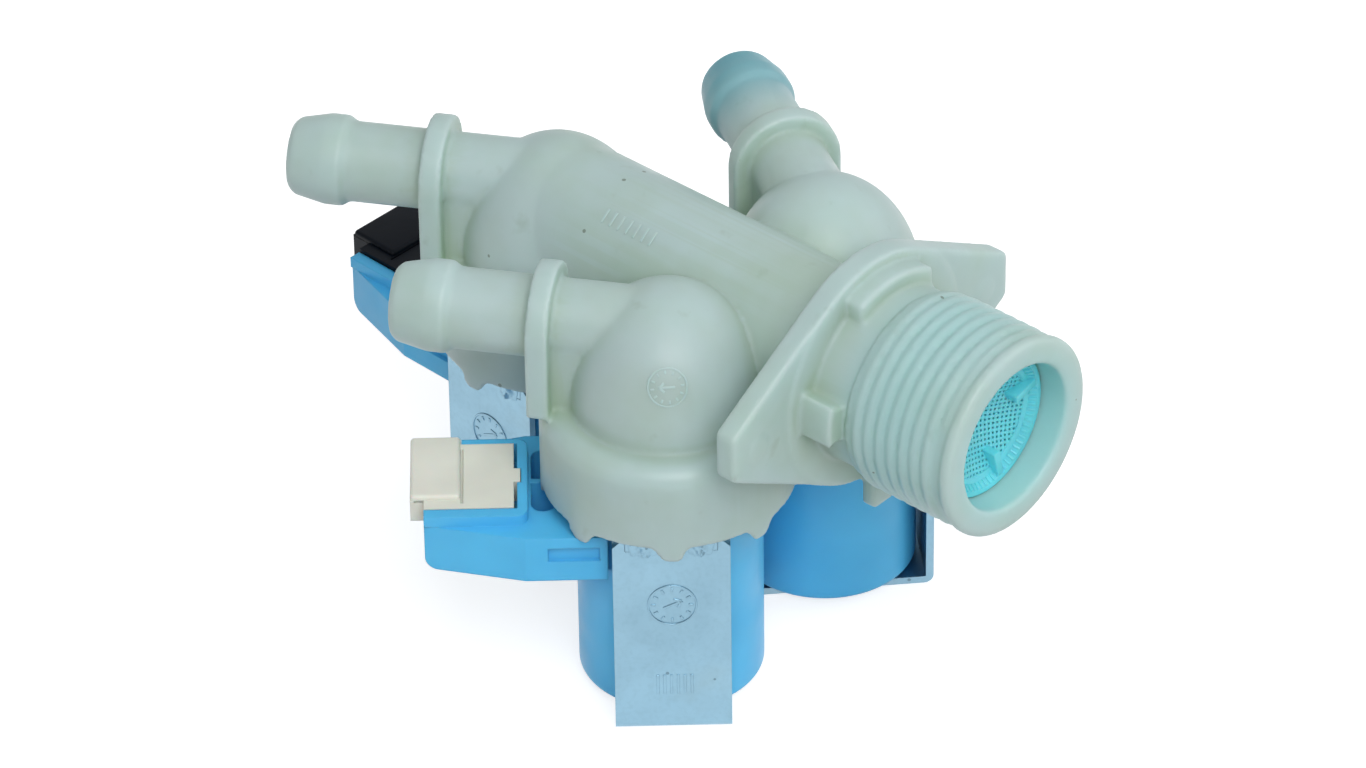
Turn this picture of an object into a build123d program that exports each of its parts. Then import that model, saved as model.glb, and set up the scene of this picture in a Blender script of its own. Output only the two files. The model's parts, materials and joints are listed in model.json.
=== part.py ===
from build123d import *
import math
import os

# Washing machine inlet valve, one inlet to three solenoid outlets, millimetres.
# Origin on the inlet axis at the shoulder where the thread starts, mouth along -Y,
# outlets on top and coils below.

# Body: inlet side, distances along Y
mouth_y = -16.8
thread_start_y = 0.0
thread_major_r = 13.2
mouth_edge_r = 0.7
neck_r = 12.0
inlet_bore_r = 9.7
inlet_bore_end_y = 3.6
flange_pad_y = 5.7
ear_front_y = 6.0
flange_back_y = 9.1
flange_disc_r = 15.9
ear_reach = 26.0
ear_tip_half = 3.6
ear_corner_r = 1.0
rib_front_y = 3.0
rib_left_x = -5.6
rib_right_x = 7.9
rib_r = 14.4
block_front_y = 0.8
block_r = 14.4
block_from_deg = 165.0
block_sweep_deg = 23.0
tooth_half = 2.2
tooth_front_y = 4.0
tooth_drop = 4.0
tooth_corner_r = 0.9

# Body: manifold and the three valve units
manifold_r = 9.8
manifold_bore_r = 7.2
unit_half_spacing = 14.9
unit_row_y = 26.6
rear_unit_y = 58.2
dome_r = 12.2
dome_rise = 14.7
dome_centre_z = -4.6
dome_wall = 2.0
collar_r = 16.0
collar_top_z = -6.0
collar_edge_r = 2.8
cup_rim_z = -17.6
cup_bore_r = 13.4
cup_ledge_z = -11.4
lug_count = 8
lug_drop = 2.0
gap_root_half = 3.9
gap_foot_half = 5.1
lug_root_round = 1.2
lug_tip_round = 1.0
lug_cut_margin = 0.5
passage_half = 3.5
passage_from = 1.8
passage_to = 7.4

# Body: outlet barbs, distances out along each barb from its unit's axis
barb_z = 4.2
barb_tube_r = 5.13
barb_bore_r = 3.4
ridge_r = 5.8
ridge_start = 26.4
ridge_full = 27.2
ridge_end = 29.5
barb_tip = 34.2
barb_tip_r = 4.95
barb_tip_edge_r = 0.8
stop_plate_near = 13.6
stop_plate_thick = 2.8
stop_plate_half = 7.17
stop_plate_foot_z = -6.4
outlet_tube_r = 4.6
outlet_bore_r = 3.2
outlet_seat_z = -8.4

# Inlet filter basket and the flow restrictor in the side outlet
filter_clearance = 0.15
filter_front_y = -12.8
filter_rim_depth = 1.6
filter_wall = 0.7
filter_taper = 0.4
filter_rim_width = 0.85
screen_r = 8.1
screen_edge_depth = 0.8
screen_depth = 3.3
fin_count = 4
fin_turn_deg = 13.0
fin_inner_r = 4.9
fin_thick = 1.1
restrictor_clearance = 0.05
restrictor_length = 7.0
restrictor_hole_r = 1.6
restrictor_inset = 0.3

# Diaphragm, its insert and the cover with the guide tube
seat_gap = 0.05
cup_clearance = 0.2
diaphragm_rim_thick = 1.15
diaphragm_rim_width = 1.9
diaphragm_pad_r = 6.4
diaphragm_pad_thick = 1.45
diaphragm_hole_r = 2.5
web_thick = 0.65
insert_clearance = 0.1
insert_flange_r = 6.2
insert_flange_thick = 1.4
insert_hub_rise = 1.2
insert_boss_r = 1.6
insert_boss_drop = 0.5
pilot_hole_r = 0.6
cover_floor_thick = 3.6
guide_tube_bore_r = 4.2
guide_tube_wall = 0.8
guide_tube_end_wall = 0.8
guide_tube_end_z = -44.4

# Plunger with its tip and spring
plunger_clearance = 0.2
plunger_length = 20.0
plunger_nose_gap = 1.3
plunger_groove = 0.7
tip_r = 1.6
tip_seat_depth = 2.0
spring_wire_r = 0.35
spring_mean_r = 2.9
spring_turns = 5

# Steel frame: bracket, yoke plate and flux sleeve
bracket_outer = 13.15
bracket_sheet = 1.0
bracket_half_width = 7.3
bracket_top_z = -18.4
bracket_bottom_z = -48.0
bracket_bend_r = 1.2
leg_corner = 1.0
tab_offset = 4.0
tab_width = 3.4
tab_clearance = 0.05
plate_thick = 1.5
plate_bore_clearance = 0.15
sleeve_wall = 0.4
sleeve_clearance = 0.15
sleeve_height = 14.0

# Coil: bobbin, winding and moulded housing
coil_r = 11.7
coil_bottom_z = -46.3
coil_bottom_edge_r = 0.6
coil_end_wall = 1.2
bobbin_wall = 0.75
bobbin_flange_thick = 1.2
bobbin_flange_r = 10.4
moulding_clearance = 0.05
winding_r = 10.0

# Connector on the coil, distances out from the unit's axis and to its side
housing_end = 30.5
housing_end_half = 7.5
housing_flare_at = 18.0
housing_half = 10.7
housing_start = 7.8
housing_top_z = -19.5
housing_bottom_z = -26.0
housing_edge_r = 1.6
surround_inner = 17.6
surround_wall = 1.3
surround_top_z = -18.0
surround_corner_r = 1.5
surround_near = 7.8
surround_far = -8.2
socket_clearance = 0.1
side_recess_from = 8.8
side_recess_to = 15.2
side_recess_top_z = -21.1
side_recess_bottom_z = -23.1
side_recess_depth = 0.6
slot_inner = 14.2
slot_wall = 0.4
slot_near = 5.0
slot_far = -7.7
slot_floor_z = -24.8
slot_rib = 0.8
plug_inner = 19.9
plug_near = 4.6
plug_far = -5.6
plug_top_z = -21.7
plug_bottom_z = -25.0
insert_near = 6.1
insert_far = -7.1
insert_end_gap = 0.4
insert_bottom_z = -21.0
insert_overhang_far = -8.1
insert_overhang_near = 4.4
insert_overhang_from = 25.9
insert_tab = 0.8
insert_tab_near = 0.8
insert_tab_far = -1.9
insert_groove = 0.3
terminal_pitch = 5.0
terminal_width = 2.8
terminal_thick = 0.5
terminal_embed = 1.9
terminal_setback = 2.0
terminal_z = -23.3

# Values worked out from the ones above
lug_foot_z = cup_rim_z - lug_drop
cover_top_z = cup_ledge_z - diaphragm_rim_thick - 2 * seat_gap
cover_bottom_z = bracket_top_z + seat_gap
plate_top_z = bracket_top_z
plate_bottom_z = plate_top_z - plate_thick
coil_top_z = plate_bottom_z - seat_gap
guide_tube_r = guide_tube_bore_r + guide_tube_wall
sleeve_bore_r = guide_tube_r + sleeve_clearance
coil_bore_r = sleeve_bore_r + sleeve_wall + sleeve_clearance
bobbin_tube_r = coil_bore_r + bobbin_wall
insert_top_z = outlet_seat_z - seat_gap - diaphragm_pad_thick - seat_gap
insert_bottom_face_z = insert_top_z - insert_flange_thick
pilot_seat_z = insert_bottom_face_z - insert_boss_drop
tip_top_z = pilot_seat_z - seat_gap
plunger_r = guide_tube_bore_r - plunger_clearance
plunger_top_z = tip_top_z - plunger_nose_gap
plunger_bottom_z = plunger_top_z - plunger_length
guide_tube_floor_z = guide_tube_end_z + guide_tube_end_wall
filter_end_y = inlet_bore_end_y - seat_gap

# Each unit: axis x, axis y, barb heading, connector heading, insert end and insert top
UNITS = {
    "front": (-unit_half_spacing, unit_row_y, 120.0, 132.5, 32.2, -17.9),
    "side": (unit_half_spacing, unit_row_y, 60.0, 47.5, 32.2, -17.9),
    "rear": (0.0, rear_unit_y, 120.0, 87.5, 33.4, -17.5),
}


def heading(degrees):
    """Level unit vector at an angle from +X."""
    return Vector(math.cos(math.radians(degrees)), math.sin(math.radians(degrees)), 0)


def level(unit, degrees, height):
    """Level plane on a unit's axis, x along the heading and y to its left."""
    return Plane(origin=(unit[0], unit[1], height), x_dir=heading(degrees), z_dir=(0, 0, 1))


def across(unit, degrees, distance):
    """Upright plane facing out along the heading, x to its left and y up."""
    origin = Vector(unit[0], unit[1], 0) + heading(degrees) * distance
    return Plane(origin=origin, x_dir=heading(degrees + 90), z_dir=heading(degrees))


def section(unit, degrees):
    """Upright plane through a unit's axis, x out along the heading and y up."""
    return Plane(origin=(unit[0], unit[1], 0), x_dir=heading(degrees), z_dir=heading(degrees - 90))


def upright_axis(unit):
    return Axis((unit[0], unit[1], 0), (0, 0, 1))


def barb_axis(unit):
    return Axis((unit[0], unit[1], barb_z), tuple(heading(unit[2])))


def inlet_plane(y):
    """Upright plane at a station on the inlet axis, facing the mouth."""
    return Plane.XZ.offset(-y)


def keep(piece, name):
    """Label a finished piece and write its STEP file."""
    piece.part.label = name
    export_step(piece.part, "parts/" + name + ".step")


def dome_and_cup_solid(unit):
    """Bullet dome over a collar with a rounded shoulder, solid down to the feet of the lugs."""
    crease = math.degrees(math.asin((collar_top_z - dome_centre_z) / dome_rise))
    with BuildSketch(section(unit, unit[2])) as profile:
        with BuildLine():
            crown = EllipticalCenterArc((0, dome_centre_z), dome_r, dome_rise, crease, arc_size=90 - crease)
            Polyline(
                crown @ 1,
                (0, lug_foot_z),
                (collar_r, lug_foot_z),
                (collar_r, collar_top_z - collar_edge_r),
            )
            CenterArc((collar_r - collar_edge_r, collar_top_z - collar_edge_r), collar_edge_r, 0, 90)
            Line((collar_r - collar_edge_r, collar_top_z), crown @ 0)
        make_face()
    revolve(profile.sketch, axis=upright_axis(unit))


def meets_neighbour(unit, degrees):
    """True where a unit's rim runs into the cup beside it."""
    spot = Vector(unit[0], unit[1], 0) + heading(degrees) * collar_r
    others = [Vector(other[0], other[1], 0) for other in UNITS.values() if other != unit]
    return any((spot - other).length < collar_r + gap_root_half / 2 for other in others)


def lug_gaps(unit):
    """Gaps that leave a crown of rounded lugs, one of them on each leg of the bracket."""
    open_z = lug_foot_z - lug_cut_margin
    side = gap_foot_half + 2 * lug_tip_round
    for step in range(lug_count):
        turn = unit[3] + (step + 0.5) * 360 / lug_count
        if meets_neighbour(unit, turn):
            continue
        with BuildSketch(across(unit, turn, collar_r / 2)) as profile:
            with BuildLine():
                Polyline(
                    (-gap_root_half, cup_rim_z),
                    (gap_root_half, cup_rim_z),
                    (gap_foot_half, lug_foot_z),
                    (side, lug_foot_z),
                    (side, open_z),
                    (-side, open_z),
                    (-side, lug_foot_z),
                    (-gap_foot_half, lug_foot_z),
                    close=True,
                )
            make_face()
            fillet(profile.vertices().group_by(Axis.Y)[-1], lug_root_round)
            tips = profile.vertices().group_by(Axis.Y)[1].sort_by(lambda corner: abs(corner.X))[:2]
            fillet(tips, lug_tip_round)
        extrude(profile.sketch, amount=collar_r / 2 + lug_cut_margin, mode=Mode.SUBTRACT)


def barb_solid(unit):
    """Hose barb with its ridge, turned about the barb's axis."""
    with BuildSketch(section(unit, unit[2])) as profile:
        with BuildLine():
            Polyline(
                (0, barb_z),
                (0, barb_z + barb_tube_r),
                (ridge_start, barb_z + barb_tube_r),
                (ridge_full, barb_z + ridge_r),
                (ridge_end, barb_z + ridge_r),
                (barb_tip - barb_tip_edge_r, barb_z + barb_tip_r),
                (barb_tip, barb_z + barb_tip_r - barb_tip_edge_r),
                (barb_tip, barb_z),
                close=True,
            )
        make_face()
    revolve(profile.sketch, axis=barb_axis(unit))


def stop_plate(unit):
    """Arched plate that a hose end stops against."""
    with BuildSketch(across(unit, unit[2], stop_plate_near)) as profile:
        with Locations((0, barb_z)):
            Circle(stop_plate_half)
        with Locations((0, (barb_z + stop_plate_foot_z) / 2)):
            Rectangle(2 * stop_plate_half, barb_z - stop_plate_foot_z)
    extrude(profile.sketch, amount=stop_plate_thick)


def chamber_cut(unit):
    """Cup for the diaphragm cover and the ring chamber above it."""
    inner_r = dome_r - dome_wall
    roof_centre_z = dome_centre_z + dome_rise - dome_wall - inner_r
    open_z = cup_rim_z - 2 * lug_drop
    with BuildSketch(section(unit, unit[3])) as profile:
        with BuildLine():
            crown = CenterArc((0, roof_centre_z), inner_r, 0, 90)
            Polyline(
                crown @ 1,
                (0, open_z),
                (cup_bore_r, open_z),
                (cup_bore_r, cup_ledge_z),
                (inner_r, cup_ledge_z),
                crown @ 0,
            )
        make_face()
    revolve(profile.sketch, axis=upright_axis(unit), mode=Mode.SUBTRACT)


def outlet_tube(unit):
    """Seat tube down the middle of the chamber, joined to the barb inside the dome."""
    with BuildSketch(level(unit, unit[2], outlet_seat_z)) as profile:
        Circle(outlet_tube_r)
    extrude(profile.sketch, amount=barb_z - outlet_seat_z)
    with BuildSketch(section(unit, unit[2])) as profile:
        with BuildLine():
            Polyline(
                (-outlet_tube_r, barb_z),
                (-outlet_tube_r, barb_z + outlet_tube_r / 2),
                (-outlet_tube_r / 2, barb_z + outlet_tube_r),
                (dome_r, barb_z + outlet_tube_r),
                (dome_r, barb_z),
                close=True,
            )
        make_face()
    revolve(profile.sketch, axis=barb_axis(unit))


def outlet_bore(unit):
    """Water way from the seat up and out through the barb."""
    with BuildSketch(level(unit, unit[2], outlet_seat_z)) as profile:
        Circle(outlet_bore_r)
    extrude(profile.sketch, amount=barb_z - outlet_seat_z, mode=Mode.SUBTRACT)
    with BuildSketch(across(unit, unit[2], 0)) as profile:
        with Locations((0, barb_z)):
            Circle(barb_bore_r)
    extrude(profile.sketch, amount=barb_tip, mode=Mode.SUBTRACT)


# One moulding: inlet, flange, manifold, three cups under domes and three barbs
with BuildPart() as body:
    with BuildSketch(inlet_plane(flange_back_y)):
        Circle(flange_disc_r)
        with GridLocations(2 * (ear_reach - ear_corner_r), 2 * (ear_tip_half - ear_corner_r), 2, 2):
            Circle(ear_corner_r)
        make_hull()
    extrude(amount=flange_back_y - ear_front_y)
    with BuildSketch(inlet_plane(ear_front_y)):
        Circle(flange_disc_r)
    extrude(amount=ear_front_y - flange_pad_y)
    with BuildSketch(inlet_plane(flange_pad_y)):
        Circle(neck_r)
    extrude(amount=flange_pad_y - thread_start_y)
    with BuildSketch(inlet_plane(thread_start_y)):
        Circle(thread_major_r)
    extrude(amount=thread_start_y - mouth_y)
    fillet(body.edges().filter_by(GeomType.CIRCLE).sort_by(Axis.Y)[0], mouth_edge_r)
    # Arc rib over the neck, side block and bottom tooth on the flange face
    with BuildSketch(inlet_plane(flange_pad_y)):
        Circle(rib_r)
        Circle(neck_r - 1, mode=Mode.SUBTRACT)
        with Locations(((rib_left_x + rib_right_x) / 2, rib_r / 2)):
            Rectangle(rib_right_x - rib_left_x, rib_r, mode=Mode.INTERSECT)
    extrude(amount=flange_pad_y - rib_front_y)
    block_to_deg = block_from_deg + block_sweep_deg
    with BuildSketch(inlet_plane(flange_pad_y)):
        with BuildLine():
            outer = CenterArc((0, 0), block_r, block_from_deg, block_sweep_deg)
            inner = CenterArc((0, 0), neck_r - 1, block_from_deg, block_sweep_deg)
            Line(outer @ 0, inner @ 0)
            Line(outer @ 1, inner @ 1)
        make_face()
    extrude(amount=flange_pad_y - block_front_y)
    with BuildSketch(inlet_plane(ear_front_y)) as tooth:
        with Locations((0, -flange_disc_r + tooth_half)):
            Rectangle(2 * tooth_half, tooth_half + tooth_drop, align=(Align.CENTER, Align.MAX))
        fillet(tooth.vertices().group_by(Axis.Y)[0], tooth_corner_r)
    extrude(amount=ear_front_y - tooth_front_y)
    # Manifold and the outside of the three units
    with BuildSketch(inlet_plane(rear_unit_y)):
        Circle(manifold_r)
    extrude(amount=rear_unit_y - flange_back_y)
    for unit in UNITS.values():
        dome_and_cup_solid(unit)
    for unit in UNITS.values():
        lug_gaps(unit)
    # Passage under the rim for the two frame corners that meet between the front cups
    with BuildSketch(Plane.XY.offset(lug_foot_z - lug_cut_margin)):
        with Locations((0, unit_row_y + (passage_from + passage_to) / 2)):
            Rectangle(2 * passage_half, passage_to - passage_from)
    extrude(amount=lug_drop + lug_cut_margin, mode=Mode.SUBTRACT)
    for unit in UNITS.values():
        barb_solid(unit)
        stop_plate(unit)
    # Water ways
    for unit in UNITS.values():
        chamber_cut(unit)
    with BuildSketch(inlet_plane(rear_unit_y - (dome_r - dome_wall + outlet_tube_r) / 2)):
        Circle(manifold_bore_r)
    extrude(amount=rear_unit_y - mouth_y, mode=Mode.SUBTRACT)
    with BuildSketch(inlet_plane(inlet_bore_end_y)):
        Circle(inlet_bore_r)
    extrude(amount=inlet_bore_end_y - mouth_y, mode=Mode.SUBTRACT)
    for unit in UNITS.values():
        outlet_tube(unit)
    for unit in UNITS.values():
        outlet_bore(unit)


def make_filter():
    """Dished screen with a rim, four grip fins in front and a skirt down to its seat."""
    rim_r = inlet_bore_r - filter_clearance
    rim_back_y = filter_front_y + filter_rim_depth
    skirt_r = rim_r - filter_taper
    screen_edge_y = filter_front_y + screen_edge_depth
    screen_slope = (screen_depth - screen_edge_depth) / screen_r
    fin_foot_y = screen_edge_y + (screen_r - fin_inner_r) * screen_slope + filter_wall / 2
    with BuildPart() as basket:
        with BuildSketch(Plane.XY):
            with BuildLine():
                Polyline(
                    (rim_r, filter_front_y),
                    (rim_r, rim_back_y),
                    (skirt_r, rim_back_y),
                    (skirt_r, filter_end_y),
                    (skirt_r - filter_wall, filter_end_y),
                    (skirt_r - filter_wall, screen_edge_y + filter_wall),
                    (0, filter_front_y + screen_depth + filter_wall),
                    (0, filter_front_y + screen_depth),
                    (screen_r, screen_edge_y),
                    (rim_r - filter_rim_width, filter_front_y),
                    close=True,
                )
            make_face()
        revolve(axis=Axis.Y)
        with BuildSketch(inlet_plane(fin_foot_y)):
            fin_outer_r = skirt_r - filter_wall / 2
            with PolarLocations((fin_inner_r + fin_outer_r) / 2, fin_count, start_angle=fin_turn_deg):
                Rectangle(fin_outer_r - fin_inner_r, fin_thick)
        extrude(amount=fin_foot_y - filter_front_y)
    keep(basket, "inlet_filter")


def make_restrictor(unit):
    """Ring pressed into an outlet, just inside the tip of the barb."""
    start = barb_tip - restrictor_inset - restrictor_length
    with BuildPart() as restrictor:
        with BuildSketch(across(unit, unit[2], start)):
            with Locations((0, barb_z)):
                Circle(barb_bore_r - restrictor_clearance)
                Circle(restrictor_hole_r, mode=Mode.SUBTRACT)
        extrude(amount=restrictor_length)
    keep(restrictor, "flow_restrictor")


def make_diaphragm(unit, name):
    """Rubber hat: thick pad on the seat, sloping web and clamped rim."""
    rim_top_z = cup_ledge_z - seat_gap
    rim_bottom_z = rim_top_z - diaphragm_rim_thick
    rim_r = cup_bore_r - cup_clearance
    rim_inner_r = rim_r - diaphragm_rim_width
    pad_top_z = outlet_seat_z - seat_gap
    pad_bottom_z = pad_top_z - diaphragm_pad_thick
    web_foot_r = dome_r - dome_wall - web_thick / 2
    with BuildPart() as diaphragm:
        with BuildSketch(section(unit, unit[3])):
            with BuildLine():
                Polyline(
                    (diaphragm_hole_r, pad_top_z),
                    (diaphragm_pad_r, pad_top_z),
                    (web_foot_r, rim_top_z),
                    (rim_r, rim_top_z),
                    (rim_r, rim_bottom_z),
                    (rim_inner_r, rim_bottom_z),
                    (rim_inner_r, rim_top_z - web_thick),
                    (web_foot_r, rim_top_z - web_thick),
                    (diaphragm_pad_r, pad_bottom_z),
                    (diaphragm_hole_r, pad_bottom_z),
                    close=True,
                )
            make_face()
        revolve(axis=upright_axis(unit))
    keep(diaphragm, "diaphragm_" + name)


def make_diaphragm_insert(unit, name):
    """Rigid disc under the pad, its hub through the rubber and a pilot hole down the middle."""
    hub_r = diaphragm_hole_r - insert_clearance
    hub_top_z = outlet_seat_z + insert_hub_rise
    with BuildPart() as insert:
        with BuildSketch(section(unit, unit[3])):
            with BuildLine():
                Polyline(
                    (pilot_hole_r, hub_top_z),
                    (hub_r, hub_top_z),
                    (hub_r, insert_top_z),
                    (insert_flange_r, insert_top_z),
                    (insert_flange_r, insert_bottom_face_z),
                    (insert_boss_r, insert_bottom_face_z),
                    (insert_boss_r, pilot_seat_z),
                    (pilot_hole_r, pilot_seat_z),
                    close=True,
                )
            make_face()
        revolve(axis=upright_axis(unit))
    keep(insert, "diaphragm_insert_" + name)


def make_cover(unit, name):
    """Cover that clamps the diaphragm, with the closed guide tube below it."""
    rim_r = cup_bore_r - cup_clearance
    recess_r = rim_r - diaphragm_rim_width
    recess_z = cover_bottom_z + cover_floor_thick
    with BuildPart() as cover:
        with BuildSketch(section(unit, unit[3])):
            with BuildLine():
                Polyline(
                    (rim_r, cover_top_z),
                    (rim_r, cover_bottom_z),
                    (guide_tube_r, cover_bottom_z),
                    (guide_tube_r, guide_tube_end_z),
                    (0, guide_tube_end_z),
                    (0, guide_tube_floor_z),
                    (guide_tube_bore_r, guide_tube_floor_z),
                    (guide_tube_bore_r, recess_z),
                    (recess_r, recess_z),
                    (recess_r, cover_top_z),
                    close=True,
                )
            make_face()
        revolve(axis=upright_axis(unit))
    keep(cover, "cover_" + name)


def make_plunger(unit, name):
    """Steel plunger with side grooves for the water and a seat for its rubber tip."""
    with BuildPart() as plunger:
        with BuildSketch(level(unit, unit[3], plunger_bottom_z)):
            Circle(plunger_r)
            with PolarLocations(plunger_r, 2):
                Rectangle(2 * plunger_groove, 2 * plunger_groove, mode=Mode.SUBTRACT)
        extrude(amount=plunger_length)
        with BuildSketch(level(unit, unit[3], plunger_top_z)):
            Circle(tip_r)
        extrude(amount=-tip_seat_depth, mode=Mode.SUBTRACT)
    keep(plunger, "plunger_" + name)


def make_plunger_tip(unit, name):
    """Rubber tip that closes the pilot hole."""
    foot_z = plunger_top_z - tip_seat_depth + seat_gap
    with BuildPart() as tip:
        with BuildSketch(level(unit, unit[3], foot_z)):
            Circle(tip_r - seat_gap)
        extrude(amount=tip_top_z - foot_z)
        chamfer(tip.edges().group_by(Axis.Z)[-1], tip_r / 4)
    keep(tip, "plunger_tip_" + name)


def make_spring(unit, name):
    """Return spring between the closed end of the guide tube and the plunger."""
    low_z = guide_tube_floor_z + seat_gap + spring_wire_r
    high_z = plunger_bottom_z - seat_gap - spring_wire_r
    length = high_z - low_z
    with BuildPart() as spring:
        with BuildLine():
            wire = Helix(length / spring_turns, length, spring_mean_r, center=(unit[0], unit[1], low_z))
        with BuildSketch(Plane(origin=wire @ 0, z_dir=wire % 0)):
            Circle(spring_wire_r)
        sweep(path=wire, is_frenet=True)
    keep(spring, "plunger_spring_" + name)


def make_bracket(unit, name):
    """Sheet steel U around the coil, with two open notches at the top of each leg."""
    with BuildPart() as bracket:
        with BuildSketch(across(unit, unit[3], 0)):
            with Locations((0, bracket_bottom_z)):
                Rectangle(
                    2 * bracket_outer,
                    bracket_top_z - bracket_bottom_z,
                    align=(Align.CENTER, Align.MIN),
                )
            with Locations((0, bracket_bottom_z + bracket_sheet)):
                Rectangle(
                    2 * (bracket_outer - bracket_sheet),
                    bracket_top_z - bracket_bottom_z,
                    align=(Align.CENTER, Align.MIN),
                    mode=Mode.SUBTRACT,
                )
        extrude(amount=bracket_half_width, both=True)
        ends = bracket.edges().filter_by(Axis((0, 0, 0), tuple(heading(unit[3]))))
        fillet(ends.group_by(Axis.Z)[0], bracket_bend_r)
        short = bracket.edges().filter_by(Axis((0, 0, 0), tuple(heading(unit[3] + 90))))
        chamfer(short.group_by(Axis.Z)[-1], leg_corner)
        with BuildSketch(across(unit, unit[3] + 90, 0)):
            with Locations((tab_offset, bracket_top_z), (-tab_offset, bracket_top_z)):
                Rectangle(
                    tab_width + 2 * tab_clearance,
                    plate_thick + tab_clearance,
                    align=(Align.CENTER, Align.MAX),
                )
        extrude(amount=2 * bracket_outer, both=True, mode=Mode.SUBTRACT)
    keep(bracket, "bracket_" + name)


def make_yoke_plate(unit, name):
    """Steel plate across the top of the coil, its tabs in the notches of the bracket."""
    with BuildPart() as plate:
        with BuildSketch(level(unit, unit[3], plate_bottom_z)):
            Rectangle(2 * bracket_half_width, 2 * (bracket_outer - bracket_sheet - tab_clearance))
            with Locations((tab_offset, 0), (-tab_offset, 0)):
                Rectangle(tab_width, 2 * bracket_outer)
            Circle(guide_tube_r + plate_bore_clearance, mode=Mode.SUBTRACT)
        extrude(amount=plate_thick)
    keep(plate, "yoke_plate_" + name)


def make_sleeve(unit, name):
    """Steel sleeve round the lower end of the guide tube, standing on the bracket."""
    with BuildPart() as sleeve:
        with BuildSketch(level(unit, unit[3], bracket_bottom_z + bracket_sheet)):
            Circle(sleeve_bore_r + sleeve_wall)
            Circle(sleeve_bore_r, mode=Mode.SUBTRACT)
        extrude(amount=sleeve_height)
    keep(sleeve, "flux_sleeve_" + name)


def make_bobbin(unit, name):
    """Spool that carries the winding."""
    low_z = coil_bottom_z + seat_gap
    high_z = coil_top_z - seat_gap
    flange_low_z = coil_bottom_z + coil_end_wall + moulding_clearance
    flange_high_z = coil_top_z - coil_end_wall - moulding_clearance
    with BuildPart() as bobbin:
        with BuildSketch(section(unit, unit[3])):
            with BuildLine():
                Polyline(
                    (coil_bore_r, low_z),
                    (bobbin_tube_r, low_z),
                    (bobbin_tube_r, flange_low_z),
                    (bobbin_flange_r, flange_low_z),
                    (bobbin_flange_r, flange_low_z + bobbin_flange_thick),
                    (bobbin_tube_r, flange_low_z + bobbin_flange_thick),
                    (bobbin_tube_r, flange_high_z - bobbin_flange_thick),
                    (bobbin_flange_r, flange_high_z - bobbin_flange_thick),
                    (bobbin_flange_r, flange_high_z),
                    (bobbin_tube_r, flange_high_z),
                    (bobbin_tube_r, high_z),
                    (coil_bore_r, high_z),
                    close=True,
                )
            make_face()
        revolve(axis=upright_axis(unit))
    keep(bobbin, "bobbin_" + name)


def make_winding(unit, name):
    """Copper winding between the flanges of the bobbin."""
    low_z = coil_bottom_z + coil_end_wall + bobbin_flange_thick + 2 * moulding_clearance
    high_z = coil_top_z - coil_end_wall - bobbin_flange_thick - 2 * moulding_clearance
    with BuildPart() as winding:
        with BuildSketch(level(unit, unit[3], low_z)):
            Circle(winding_r)
            Circle(bobbin_tube_r + moulding_clearance, mode=Mode.SUBTRACT)
        extrude(amount=high_z - low_z)
    keep(winding, "winding_" + name)




def block(unit, along, beside, heights, mode=Mode.ADD):
    """Block between two stations out along the connector, two beside it and two heights."""
    with BuildSketch(level(unit, unit[3], heights[0])) as profile:
        with Locations(((along[0] + along[1]) / 2, (beside[0] + beside[1]) / 2)):
            Rectangle(along[1] - along[0], beside[1] - beside[0])
    extrude(profile.sketch, amount=heights[1] - heights[0], mode=mode)


def connector_housing(unit):
    """Flared block on the side of the coil with the raised surround of its insert."""
    with BuildSketch(level(unit, unit[3], housing_bottom_z)) as profile:
        with BuildLine():
            Polyline(
                (housing_start, housing_half),
                (housing_flare_at, housing_half),
                (housing_end, housing_end_half),
                (housing_end, -housing_end_half),
                (housing_flare_at, -housing_half),
                (housing_start, -housing_half),
                close=True,
            )
        make_face()
    extrude(profile.sketch, amount=housing_top_z - housing_bottom_z)
    with BuildSketch(level(unit, unit[3], housing_top_z)) as profile:
        with BuildLine():
            FilletPolyline(
                (housing_end, surround_near),
                (surround_inner, surround_near),
                (surround_inner, surround_far),
                (housing_end, surround_far),
                radius=surround_corner_r,
            )
            Line((housing_end, surround_far), (housing_end, surround_near))
        make_face()
    extrude(profile.sketch, amount=surround_top_z - housing_top_z)


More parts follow.
